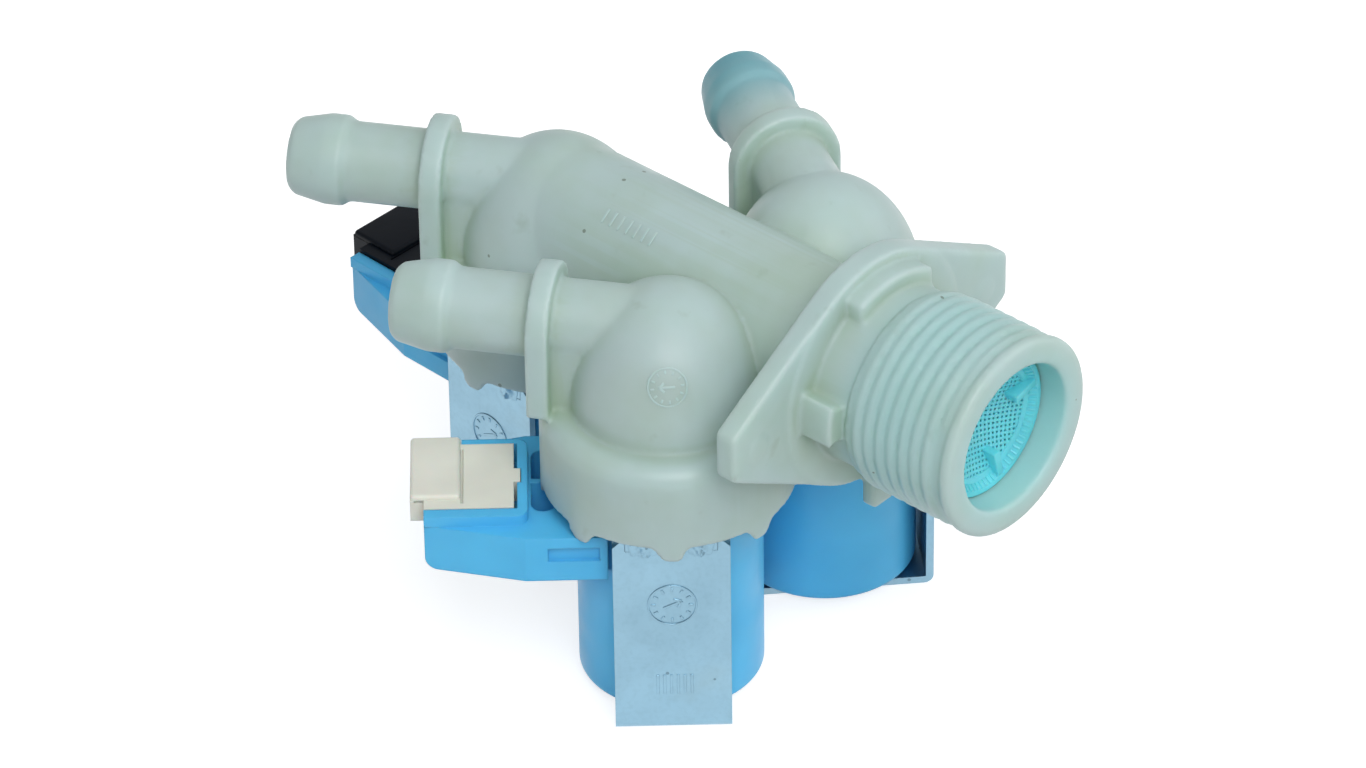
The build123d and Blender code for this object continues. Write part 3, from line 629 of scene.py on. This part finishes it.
def body_copy(sizes):
    """Merged copy of the body with its thread cylinder turned down to the root radius."""
    mesh = merged_copy("body")
    for station in (sizes.ring, sizes.end):
        bmesh.ops.bisect_plane(
            mesh,
            geom=mesh.verts[:] + mesh.edges[:] + mesh.faces[:],
            plane_co=(0, station, 0),
            plane_no=(0, 1, 0),
        )
    slack = 0.01 * MM
    for corner in mesh.verts:
        radius = math.hypot(corner.co.x, corner.co.z)
        inside = sizes.ring + slack < corner.co.y < sizes.start + slack
        if inside and radius > sizes.root + 10 * slack:
            corner.co.x *= sizes.root / radius
            corner.co.z *= sizes.root / radius
    return mesh


def thread_ridge(mesh, sizes):
    """Helical ridge with both ends faded into the root."""
    per_turn = 60
    sunk_foot = sizes.root - 0.3 * MM
    foot = sizes.root - 0.02 * MM
    half_foot = 0.47 * sizes.pitch
    half_crest = 0.2 * sizes.pitch
    shoulder_gap = 0.15 * MM
    first = sizes.start - half_foot - shoulder_gap
    last = sizes.end + half_foot * 0.5
    steps = int((first - last) / sizes.pitch * per_turn)
    outline = (
        (first + half_foot, sunk_foot),
        (first + half_foot, foot),
        (first + half_crest, sizes.crest),
        (first - half_crest, sizes.crest),
        (first - half_foot, foot),
        (first - half_foot, sunk_foot),
    )
    corners = [mesh.verts.new((radius, y, 0)) for y, radius in outline]
    edges = [mesh.edges.new(pair) for pair in zip(corners, corners[1:] + corners[:1])]
    turn = math.tau * steps / per_turn
    before = set(mesh.verts) - set(corners)
    bmesh.ops.spin(
        mesh,
        geom=corners + edges,
        cent=(0, 0, 0),
        axis=(0, -1, 0),
        dvec=(0, -sizes.pitch / per_turn, 0),
        angle=turn,
        steps=steps,
    )
    ridge = [corner for corner in mesh.verts if corner not in before]
    fade = 0.9 * sizes.pitch
    lowest = 0.3
    for corner in ridge:
        radius = math.hypot(corner.co.x, corner.co.z)
        reach = min(first - corner.co.y + half_foot, corner.co.y - last + half_foot)
        share = min(1.0, max(0.0, reach / fade))
        if radius > sizes.root:
            shrunk = sunk_foot + (radius - sunk_foot) * (lowest + (1 - lowest) * share)
            corner.co.x *= shrunk / radius
            corner.co.z *= shrunk / radius
    bmesh.ops.holes_fill(mesh, edges=[edge for edge in mesh.edges if edge.is_boundary])


def moulded(mesh, name, voxel, rounds, most):
    """The shapes of a bmesh melted into one skin, softened, with at most so many triangles."""
    face_outwards(mesh)
    rough = bpy.data.meshes.new(name + "_rough")
    mesh.to_mesh(rough)
    mesh.free()
    holder = bpy.data.objects.new(name + "_rough", rough)
    bpy.context.scene.collection.objects.link(holder)
    remesh = holder.modifiers.new("skin", "REMESH")
    remesh.mode = "VOXEL"
    remesh.voxel_size = voxel
    smooth = holder.modifiers.new("soften", "SMOOTH")
    smooth.factor = 0.5
    smooth.iterations = rounds
    ratio = min(1.0, most / triangles(holder))
    thin = holder.modifiers.new("thin", "DECIMATE")
    thin.ratio = ratio
    found = holder.evaluated_get(bpy.context.evaluated_depsgraph_get())
    data = bpy.data.meshes.new_from_object(found)
    data.name = name
    bpy.data.objects.remove(holder)
    bpy.data.meshes.remove(rough)
    return data


def triangles(piece):
    """Triangle count of a piece with its modifiers."""
    found = piece.evaluated_get(bpy.context.evaluated_depsgraph_get())
    mesh = found.to_mesh()
    mesh.calc_loop_triangles()
    count = len(mesh.loop_triangles)
    found.to_mesh_clear()
    return count


def ray_fan(count):
    """Directions spread over a half sphere round +Z, denser near the pole."""
    golden = 0.618034
    fan = []
    for step in range(count):
        height = math.sqrt((step + 0.5) / count)
        level = math.sqrt(1 - height * height)
        turn = step * math.tau * golden
        fan.append(Vector((level * math.cos(turn), level * math.sin(turn), height)))
    return fan


def store_creases(data, reach, count=10):
    """Writes how hidden each vertex is as the crease attribute, 0 in the open to 1 deep in."""
    mesh = bmesh.new()
    mesh.from_mesh(data)
    tree = BVHTree.FromBMesh(mesh)
    fan = ray_fan(count)
    lift = 0.02
    values = []
    for corner in mesh.verts:
        turn = Vector((0, 0, 1)).rotation_difference(corner.normal).to_matrix()
        start = corner.co + corner.normal * lift * MM
        hidden = 0.0
        for way in fan:
            distance = tree.ray_cast(start, turn @ way, reach)[3]
            if distance is not None:
                hidden += 1 - distance / reach
        values.append(hidden / count)
    mesh.free()
    # The body's finish paints shade from this value
    crease = data.attributes.new("crease", "FLOAT", "POINT")
    crease.data.foreach_set("value", values)


class VALVE_OT_body(bpy.types.Operator):
    """Body moulding with its hose thread and soft edges"""

    bl_idname = "valve.body"
    bl_label = "Body and thread"

    soft_rounds = 6
    most_triangles = 196000
    crease_reach = 7 * MM

    def execute(self, context):
        sizes = context.scene.valve_thread
        mesh = body_copy(sizes)
        thread_ridge(mesh, sizes)
        ear_bosses(mesh)
        for unit in UNITS:
            barb_web(mesh, unit)
        voxel = sizes.voxel * 1
        data = moulded(mesh, "body_moulding", voxel, self.soft_rounds, self.most_triangles)
        store_creases(data, self.crease_reach)
        piece = new_piece(data, "body_moulding", "body_nylon", ["body"])
        piece.data.shade_smooth()
        return {"FINISHED"}


def facing(unit, headings, distance):
    """Upright frame at a distance out from a unit's axis: X to its left, Y up, Z outwards."""
    turn = math.radians(headings[unit])
    out = Vector((math.cos(turn), math.sin(turn), 0))
    up = Vector((0, 0, 1))
    place = Matrix((up.cross(out), up, out)).transposed().to_4x4()
    place.translation = Vector((*AXES[unit], 0)) * MM + out * distance
    return place


def barb_web(mesh, unit):
    """Filled foot under a barb, between its dome and the arched plate."""
    half_width, foot_z = 4.95 * MM, -6.8 * MM
    notch_r, notch_steps = 4.2 * MM, 12
    start, deep = 10.2 * MM, 4.4 * MM
    outline = [(-half_width, foot_z), (half_width, foot_z), (half_width, BARB_Z)]
    for step in range(notch_steps + 1):
        turn = -math.pi * step / notch_steps
        outline.append((notch_r * math.cos(turn), BARB_Z + notch_r * math.sin(turn)))
    outline.append((-half_width, BARB_Z))
    place = facing(unit, BARBS, start)
    corners = [mesh.verts.new(place @ Vector((x, z, 0))) for x, z in outline]
    face = mesh.faces.new(corners)
    moved = bmesh.ops.extrude_face_region(mesh, geom=[face], use_keep_orig=True)["geom"]
    tops = [corner for corner in moved if isinstance(corner, bmesh.types.BMVert)]
    bmesh.ops.translate(mesh, verts=tops, vec=place.to_3x3() @ Vector((0, 0, deep)))


def ear_bosses(mesh):
    """Faint round ejector marks on the ears of the flange."""
    radius, deep = 1.5 * MM, 0.9 * MM
    across, station, height = 21.5 * MM, 6.25 * MM, -0.3 * MM
    upright = Matrix.Rotation(math.pi / 2, 4, "X")
    for side in (-1, 1):
        bmesh.ops.create_cone(
            mesh,
            cap_ends=True,
            segments=24,
            radius1=radius,
            radius2=radius,
            depth=deep,
            matrix=Matrix.Translation((side * across, station, height)) @ upright,
        )


# Screen filter


def screen_y(sizes, radius):
    """Station of the dished screen at a radius."""
    return sizes.centre + (sizes.edge - sizes.centre) * radius / sizes.screen


class VALVE_OT_filter(bpy.types.Operator):
    """Inlet filter with its square mesh, slotted rim and grip fins"""

    bl_idname = "valve.filter"
    bl_label = "Filter"

    def execute(self, context):
        sizes = context.scene.valve_filter
        mesh = bmesh.new()
        filter_shell(mesh, sizes)
        finished_piece(mesh, "filter_shell", "filter_plastic", ["inlet_filter"], 40)
        mesh = bmesh.new()
        filter_fins(mesh, sizes)
        finished_piece(mesh, "filter_fins", "filter_plastic")
        mesh = bmesh.new()
        filter_screen(mesh, sizes)
        finished_piece(mesh, "filter_screen", "filter_plastic")
        mesh = bmesh.new()
        filter_slots(mesh, sizes)
        finished_piece(mesh, "filter_slots", "filter_plastic")
        dress(frame["nodes"]["flow_restrictor"], "filter_plastic")
        return {"FINISHED"}


def filter_shell(mesh, sizes):
    """Rim, sloping fringe and skirt."""
    inner = sizes.skirt - sizes.wall
    lip = sizes.rim - RIM_WIDTH
    chamfer, shallow = 0.15 * MM, 0.05 * MM
    rim_back = sizes.front + 1.6 * MM
    hem = sizes.screen - 0.75 * MM
    hem_thick = 0.5 * MM
    outline = (
        (sizes.rim, sizes.front + chamfer),
        (sizes.rim, rim_back),
        (sizes.skirt, rim_back),
        (sizes.skirt, sizes.back),
        (inner, sizes.back),
        (inner, sizes.edge + sizes.wall),
        (hem, screen_y(sizes, hem) + hem_thick),
        (hem, screen_y(sizes, hem)),
        (sizes.screen, sizes.edge),
        (lip, sizes.front + shallow),
        (lip + chamfer, sizes.front),
        (sizes.rim - chamfer, sizes.front),
        (sizes.rim, sizes.front + chamfer),
    )
    lathe(mesh, [(radius, y, 0) for radius, y in outline], 120)
    bmesh.ops.remove_doubles(mesh, verts=mesh.verts, dist=0.001 * MM)
    face_outwards(mesh)


def rounded_box(mesh, size, place, edge, segments=2):
    """Box of a size in a place, a matrix, with rounded edges."""
    scale = Matrix.Diagonal((*size, 1))
    made = bmesh.ops.create_cube(mesh, size=1, matrix=place @ scale)["verts"]
    rims = list({rim for corner in made for rim in corner.link_edges})
    if edge:
        bmesh.ops.bevel(
            mesh,
            geom=rims,
            offset=edge,
            segments=segments,
            profile=0.5,
            affect="EDGES",
            material=-1,
        )


def filter_fins(mesh, sizes):
    """Four grip fins standing on the screen."""
    count = 4
    sunk, soft_edge = 0.3 * MM, 0.16 * MM
    outer = sizes.skirt - sizes.wall / 2
    back = screen_y(sizes, sizes.fin_inner) + sunk
    deep = back - sizes.front
    for step in range(count):
        turn = Matrix.Rotation(-math.radians(FILTER_TURN + 360 / count * step), 4, "Y")
        middle = Matrix.Translation(((sizes.fin_inner + outer) / 2, sizes.front + deep / 2, 0))
        size = (outer - sizes.fin_inner, deep, sizes.fin_thick)
        rounded_box(mesh, size, turn @ middle, soft_edge)


def filter_screen(mesh, sizes):
    """Square mesh with open holes, dished like the screen of the model."""
    margin, sunk, thick = 0.1 * MM, 0.05 * MM, 0.3 * MM
    count = int(2 * sizes.screen / sizes.hole)
    half = count * sizes.hole / 2
    turn = Matrix.Rotation(math.radians(FILTER_TURN), 4, "Y")
    bmesh.ops.create_grid(
        mesh,
        x_segments=count,
        y_segments=count,
        size=half,
        matrix=turn @ Matrix.Rotation(math.pi / 2, 4, "X"),
    )
    limit = sizes.screen - margin
    far = [face for face in mesh.faces if max(c.co.length for c in face.verts) > limit]
    bmesh.ops.delete(mesh, geom=far, context="FACES")
    inset = bmesh.ops.inset_individual(
        mesh, faces=mesh.faces, thickness=sizes.bar / 2, use_even_offset=True
    )
    bars = set(inset["faces"])
    holes = [face for face in mesh.faces if face not in bars]
    bmesh.ops.delete(mesh, geom=holes, context="FACES_ONLY")
    for corner in mesh.verts:
        radius = math.hypot(corner.co.x, corner.co.z)
        corner.co.y = screen_y(sizes, radius) + sunk
    face_outwards(mesh)
    bmesh.ops.solidify(mesh, geom=mesh.faces[:], thickness=thick)


def filter_slots(mesh, sizes):
    """Short ribs across the sloping fringe between the rim and the screen."""
    count = 72
    lip = sizes.rim - RIM_WIDTH
    slope = math.atan2(sizes.edge - sizes.front, lip - sizes.screen)
    long = math.hypot(sizes.edge - sizes.front, lip - sizes.screen)
    middle = Vector(((lip + sizes.screen) / 2, (sizes.edge + sizes.front) / 2, 0))
    size = (long, 0.24 * MM, 0.3 * MM)
    lean = Matrix.Rotation(-slope, 4, "Z")
    for step in range(count):
        turn = Matrix.Rotation(math.tau * step / count, 4, "Y")
        rounded_box(mesh, size, turn @ Matrix.Translation(middle) @ lean, 0)


# Coils, frames and inner pieces


class VALVE_OT_units(bpy.types.Operator):
    """Finishes of the coils, their steel frames and the pieces inside"""

    bl_idname = "valve.units"
    bl_label = "Coils and frames"

    def execute(self, context):
        slots = node_slots()
        for name, node in frame["nodes"].items():
            if name not in ("body", "inlet_filter", "flow_restrictor"):
                dress(node, slots[name])
        return {"FINISHED"}


# Springs and diaphragms


class VALVE_OT_flexing(bpy.types.Operator):
    """Springs and diaphragms, as copies in place of the nodes that their joints deform"""

    bl_idname = "valve.flexing"
    bl_label = "Springs and diaphragms"

    def execute(self, context):
        slots = node_slots()
        for joint in frame["joints"]:
            for flexing in joint["deforming_nodes"]:
                self.flatten(flexing, joint, slots[flexing["node"]])
        return {"FINISHED"}

    def flatten(self, flexing, joint, slot):
        """Puts a copy in place of a node."""
        node, fixed = flexing["node"], flexing["fixed_end_z_m"]
        piece = finished_piece(merged_copy(node), "flexing_" + node, slot, [node])
        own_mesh(piece)


# Stamping on the steel frames and marks in the moulding


def bend(mesh, along=math.inf, beside=math.inf):
    """Lets flat marks lie on a face that is round along X, along Y or both."""
    for corner in mesh.verts:
        corner.co.z -= corner.co.x**2 / (2 * along) + corner.co.y**2 / (2 * beside)


def dial(mesh, centre, radius, line, ticks):
    """Raised ring with short ticks inside and an arrow, like a mould's date dial."""
    x, y, z = centre
    foot, top = z - line / 3, z + line / 3
    outline = (
        (x + radius - line / 2, y, foot),
        (x + radius - line / 4, y, top),
        (x + radius + line / 4, y, top),
        (x + radius + line / 2, y, foot),
        (x + radius - line / 2, y, foot),
    )
    lathe(mesh, outline, 48, (0, 0, 1), centre)
    for step in range(ticks):
        turn = Matrix.Translation(centre) @ Matrix.Rotation(math.tau * step / ticks, 4, "Z")
        place = turn @ Matrix.Translation((radius * 0.78, 0, 0))
        rounded_box(mesh, (radius * 0.2, line * 0.8, line / 2), place, line / 8)
    arrow_deg, head_deg = 25, 40
    stem = Matrix.Translation(centre) @ Matrix.Rotation(math.radians(arrow_deg), 4, "Z")
    rounded_box(mesh, (radius * 0.8, line, line / 2), stem, line / 8)
    for side in (-1, 1):
        head = stem @ Matrix.Translation((radius * 0.3, side * radius * 0.12, 0))
        place = head @ Matrix.Rotation(-side * math.radians(head_deg), 4, "Z")
        rounded_box(mesh, (radius * 0.36, line, line / 2), place, line / 8)


def tally(mesh, centre, count, gap, tall, line):
    """Row of short raised bars."""
    for step in range(count):
        across = (step - (count - 1) / 2) * gap
        place = Matrix.Translation(Vector(centre) + Vector((across, 0, 0)))
        rounded_box(mesh, (line, tall, line / 2), place, line / 8)


def crimp(mesh, centre, width, tall, shift):
    """Uneven staked dent on the sheet, as a thin scab of metal with shifted waves."""
    made = bmesh.ops.create_grid(mesh, x_segments=10, y_segments=4, size=0.5)["verts"]
    for corner in made:
        across, down = corner.co.x, corner.co.y
        wide_wave = math.sin(across * 9 + shift)
        short_wave = math.sin(across * 21 + down * 7 + shift * 2)
        wave = wide_wave * 0.5 + short_wave * 0.5
        rim = max(0.0, 1 - 2 * abs(across)) ** 0.5
        corner.co.x = centre[0] + across * width * (1 + 0.25 * down)
        corner.co.y = centre[1] + down * tall
        corner.co.z = centre[2] + (0.03 + rim * (0.42 + 0.4 * wave)) * MM
    faces = list({face for corner in made for face in corner.link_faces})
    thick = 0.2 * MM
    bmesh.ops.solidify(mesh, geom=faces, thickness=thick)


class VALVE_OT_marks(bpy.types.Operator):
    """Faint date dial on the front dome and tally bars on the manifold"""

    bl_idname = "valve.marks"
    bl_label = "Mould marks"

    def execute(self, context):
        sizes = context.scene.valve_marks
        mesh = bmesh.new()
        dial(mesh, (0, 0, 0), radius=0.8 * sizes.dial, line=0.9 * sizes.line, ticks=12)
        bend(mesh, along=12.4 * MM, beside=12.9 * MM)
        self.place(mesh, *DOME_MARK, "mark_dome")
        mesh = bmesh.new()
        centre = (0, 0, 0.03 * MM)
        tally(mesh, centre, count=7, gap=1.3 * MM, tall=2.0 * MM, line=0.9 * sizes.line)
        bend(mesh, beside=9.8 * MM)
        self.place(mesh, *MANIFOLD_MARK, "mark_manifold")
        return {"FINISHED"}

    def place(self, mesh, centre, normal, name):
        """Puts flat marks on the moulding, their X along the manifold."""
        out = Vector(normal).normalized()
        beside = out.cross(Vector((0, 1, 0))).normalized()
        place = Matrix((beside.cross(out), beside, out)).transposed().to_4x4()
        place.translation = Vector(centre) * MM
        bmesh.ops.transform(mesh, matrix=place, verts=mesh.verts)
        face_outwards(mesh)
        piece = finished_piece(mesh, name, "body_nylon")
        piece.data.materials[0] = FINISHES["nylon_mark"]


class VALVE_OT_pads(bpy.types.Operator):
    """Raised rounded end of each connector insert"""

    bl_idname = "valve.pads"
    bl_label = "Insert ends"

    def execute(self, context):
        begin, wide, tall, aside, sunk = 25.95, 12.5, 1.5, -1.85, 0.1
        for unit in UNITS:
            end, top = INSERT_ENDS[unit], INSERT_TOPS[unit]
            size = Vector((wide, tall, end - begin)) * MM
            place = facing(unit, CONNECTORS, (begin + end) / 2 * MM)
            place = place @ Matrix.Translation(Vector((aside, top - sunk, 0)) * MM)
            mesh = bmesh.new()
            rounded_box(mesh, size, place, edge=0.5 * MM, segments=4)
            face_outwards(mesh)
            slot = "cap_black" if unit == "rear" else "cap_cream"
            finished_piece(mesh, "insert_end_" + unit, slot, (), 60)
        return {"FINISHED"}


class VALVE_OT_stamps(bpy.types.Operator):
    """Date dial, tally bars and staked dents on the outer leg of each steel frame"""

    bl_idname = "valve.stamps"
    bl_label = "Frame stamps"

    def execute(self, context):
        sizes = context.scene.valve_marks
        for unit in UNITS:
            place = facing(unit, LEGS, sizes.leg_face)
            mesh = bmesh.new()
            dial(mesh, (0, sizes.dial_z, 0), radius=sizes.dial, line=sizes.line, ticks=12)
            centre = (0.2 * MM, sizes.tally_z, 0)
            tally(mesh, centre, count=6, gap=0.85 * MM, tall=3.0 * MM, line=sizes.line)
            self.place(mesh, place, "bracket_stamp_" + unit, smooth_deg=35)
            mesh = bmesh.new()
            for across, width, shift in CRIMPS:
                centre = (across * MM, sizes.crimp_z, 0)
                crimp(mesh, centre, width * MM, tall=1.8 * MM, shift=shift)
            self.place(mesh, place, "bracket_crimps_" + unit, smooth_deg=25)
        return {"FINISHED"}

    def place(self, mesh, place, name, smooth_deg):
        """Puts flat marks on a leg of the frame."""
        bmesh.ops.transform(mesh, matrix=place, verts=mesh.verts)
        face_outwards(mesh)
        finished_piece(mesh, name, "zinc_steel", (), smooth_deg)


# Camera, lights and floor


def camera_matrix():
    """Place and turn of the camera, fitted to the photograph."""
    right = Vector((0.66014, -0.75105, -0.01209))
    up = Vector((0.44979, 0.38235, 0.80718))
    back = Vector((-0.60161, -0.53829, 0.59021))
    turn = Matrix((right, up, back)).transposed().to_4x4()
    turn.translation = Vector((-582.42, -483.74, 553.93)) * MM
    return turn


def make_camera():
    """Long lens at the photograph's viewing angle."""
    data = bpy.data.cameras.new("camera")
    data.sensor_fit = "HORIZONTAL"
    data.sensor_width = 36.0
    data.lens = 202.14
    data.clip_start = 0.01
    data.clip_end = 100.0
    camera = bpy.data.objects.new("camera", data)
    bpy.context.scene.collection.objects.link(camera)
    camera.matrix_world = camera_matrix()
    bpy.context.scene.camera = camera


def make_lamp(name, place, size, watts):
    """Square soft lamp aimed at the part."""
    middle = Vector((0, 0.03, -0.015))
    data = bpy.data.lights.new(name, "AREA")
    data.shape = "SQUARE"
    data.size = size
    data.energy = watts
    lamp = bpy.data.objects.new(name, data)
    bpy.context.scene.collection.objects.link(lamp)
    lamp.location = place
    lamp.rotation_euler = (middle - Vector(place)).to_track_quat("-Z", "Y").to_euler()


def seen_directly(nodes, links):
    """1 where the camera, a gloss or a clear piece sees the surface, else 0."""
    path = nodes.new("ShaderNodeLightPath")
    first = nodes.new("ShaderNodeMath")
    first.operation = "MAXIMUM"
    links.new(path.outputs["Is Camera Ray"], first.inputs[0])
    links.new(path.outputs["Is Glossy Ray"], first.inputs[1])
    second = nodes.new("ShaderNodeMath")
    second.operation = "MAXIMUM"
    links.new(first.outputs["Value"], second.inputs[0])
    links.new(path.outputs["Is Transmission Ray"], second.inputs[1])
    return second.outputs["Value"]


def make_world():
    """Soft sky light, darker from one side, that the camera sees as white."""
    dark_side, brightest, darkest = (-0.85, 0.45, -0.28), 0.47, 0.1
    world = bpy.data.worlds.new("studio")
    bpy.context.scene.world = world
    world.use_nodes = True
    nodes, links = world.node_tree.nodes, world.node_tree.links
    nodes.clear()
    output = nodes.new("ShaderNodeOutputWorld")
    light = nodes.new("ShaderNodeBackground")
    light.inputs["Color"].default_value = (0.96, 0.98, 1.0, 1)
    way = nodes.new("ShaderNodeTexCoord")
    across = nodes.new("ShaderNodeVectorMath")
    across.operation = "DOT_PRODUCT"
    across.inputs[1].default_value = dark_side
    links.new(way.outputs["Generated"], across.inputs[0])
    level = nodes.new("ShaderNodeMapRange")
    level.inputs["To Min"].default_value = brightest
    level.inputs["To Max"].default_value = darkest
    links.new(across.outputs["Value"], level.inputs["Value"])
    links.new(level.outputs["Result"], light.inputs["Strength"])
    seen = nodes.new("ShaderNodeBackground")
    seen.inputs["Color"].default_value = (1, 1, 1, 1)
    seen.inputs["Strength"].default_value = 1.0
    mix = nodes.new("ShaderNodeMixShader")
    path = nodes.new("ShaderNodeLightPath")
    links.new(path.outputs["Is Camera Ray"], mix.inputs["Fac"])
    links.new(light.outputs["Background"], mix.inputs[1])
    links.new(seen.outputs["Background"], mix.inputs[2])
    links.new(mix.outputs["Shader"], output.inputs["Surface"])


def floor_material():
    """White floor that keeps a pale shadow."""
    material = bpy.data.materials.new("white floor")
    material.use_nodes = True
    nodes, links = material.node_tree.nodes, material.node_tree.links
    nodes.clear()
    output = nodes.new("ShaderNodeOutputMaterial")
    diffuse = nodes.new("ShaderNodeBsdfDiffuse")
    diffuse.inputs["Color"].default_value = (0.55, 0.55, 0.55, 1)
    glow = nodes.new("ShaderNodeEmission")
    glow.inputs["Color"].default_value = (1, 1, 1, 1)
    strength = nodes.new("ShaderNodeMath")
    strength.operation = "MULTIPLY"
    strength.inputs[1].default_value = 0.74
    links.new(seen_directly(nodes, links), strength.inputs[0])
    links.new(strength.outputs["Value"], glow.inputs["Strength"])
    add = nodes.new("ShaderNodeAddShader")
    links.new(diffuse.outputs["BSDF"], add.inputs[0])
    links.new(glow.outputs["Emission"], add.inputs[1])
    links.new(add.outputs["Shader"], output.inputs["Surface"])
    return material


def make_floor():
    """Wide plain floor just under the lowest point of the part."""
    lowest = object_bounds()[0].z
    mesh = bmesh.new()
    bmesh.ops.create_grid(mesh, x_segments=1, y_segments=1, size=6.0)
    bmesh.ops.translate(mesh, verts=mesh.verts, vec=(0, 0, lowest - 0.02 * MM))
    data = bpy.data.meshes.new("floor")
    mesh.to_mesh(data)
    mesh.free()
    floor = bpy.data.objects.new("floor", data)
    bpy.context.scene.collection.objects.link(floor)
    data.materials.append(floor_material())
    floor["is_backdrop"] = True


class VALVE_OT_stage(bpy.types.Operator):
    """Camera, soft lamps, white surround and floor"""

    bl_idname = "valve.stage"
    bl_label = "Stage"

    def execute(self, context):
        context.scene.view_settings.view_transform = "Standard"
        make_camera()
        make_world()
        for name, (place, size, watts) in LAMPS.items():
            make_lamp(name, place, size, watts)
        make_floor()
        return {"FINISHED"}


class VALVE_OT_finishes(bpy.types.Operator):
    """Builds the finishes that the pieces share"""

    bl_idname = "valve.finishes"
    bl_label = "Finishes"

    def execute(self, context):
        FINISHES.update(make_finishes(context.scene.valve_colours))
        return {"FINISHED"}


class VALVE_PT_panel(bpy.types.Panel):
    """Sizes, colours and steps of the inlet valve"""

    bl_label = "Inlet valve"
    bl_idname = "VALVE_PT_panel"
    bl_space_type = "VIEW_3D"
    bl_region_type = "UI"
    bl_category = "Valve"

    def draw(self, context):
        for operator in OPERATORS:
            self.layout.operator(operator.bl_idname)
        for name in SCENE_GROUPS:
            group = getattr(context.scene, name)
            for size in group.__annotations__:
                self.layout.prop(group, size)


OPERATORS = (
    VALVE_OT_finishes,
    VALVE_OT_body,
    VALVE_OT_filter,
    VALVE_OT_units,
    VALVE_OT_flexing,
    VALVE_OT_pads,
    VALVE_OT_stamps,
    VALVE_OT_marks,
    VALVE_OT_stage,
)
SCENE_GROUPS = {
    "valve_thread": ThreadSizes,
    "valve_filter": FilterSizes,
    "valve_marks": MarkSizes,
    "valve_colours": Colours,
}
CLASSES = (*SCENE_GROUPS.values(), *OPERATORS, VALVE_PT_panel)


def register():
    """Registers the classes and puts their sizes and colours on the scene."""
    for made in CLASSES:
        bpy.utils.register_class(made)
    for name, group in SCENE_GROUPS.items():
        setattr(bpy.types.Scene, name, bpy.props.PointerProperty(type=group))


def unregister():
    """Takes back what register did."""
    for name in SCENE_GROUPS:
        delattr(bpy.types.Scene, name)
    for made in reversed(CLASSES):
        bpy.utils.unregister_class(made)


def main():
    """Dresses the part."""
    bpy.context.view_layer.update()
    register()
    bpy.ops.valve.finishes()
    bpy.ops.valve.body()
    bpy.ops.valve.filter()
    bpy.ops.valve.units()
    bpy.ops.valve.flexing()
    bpy.ops.valve.pads()
    bpy.ops.valve.stamps()
    bpy.ops.valve.marks()
    bpy.ops.valve.stage()


if __name__ == "__main__":
    main()
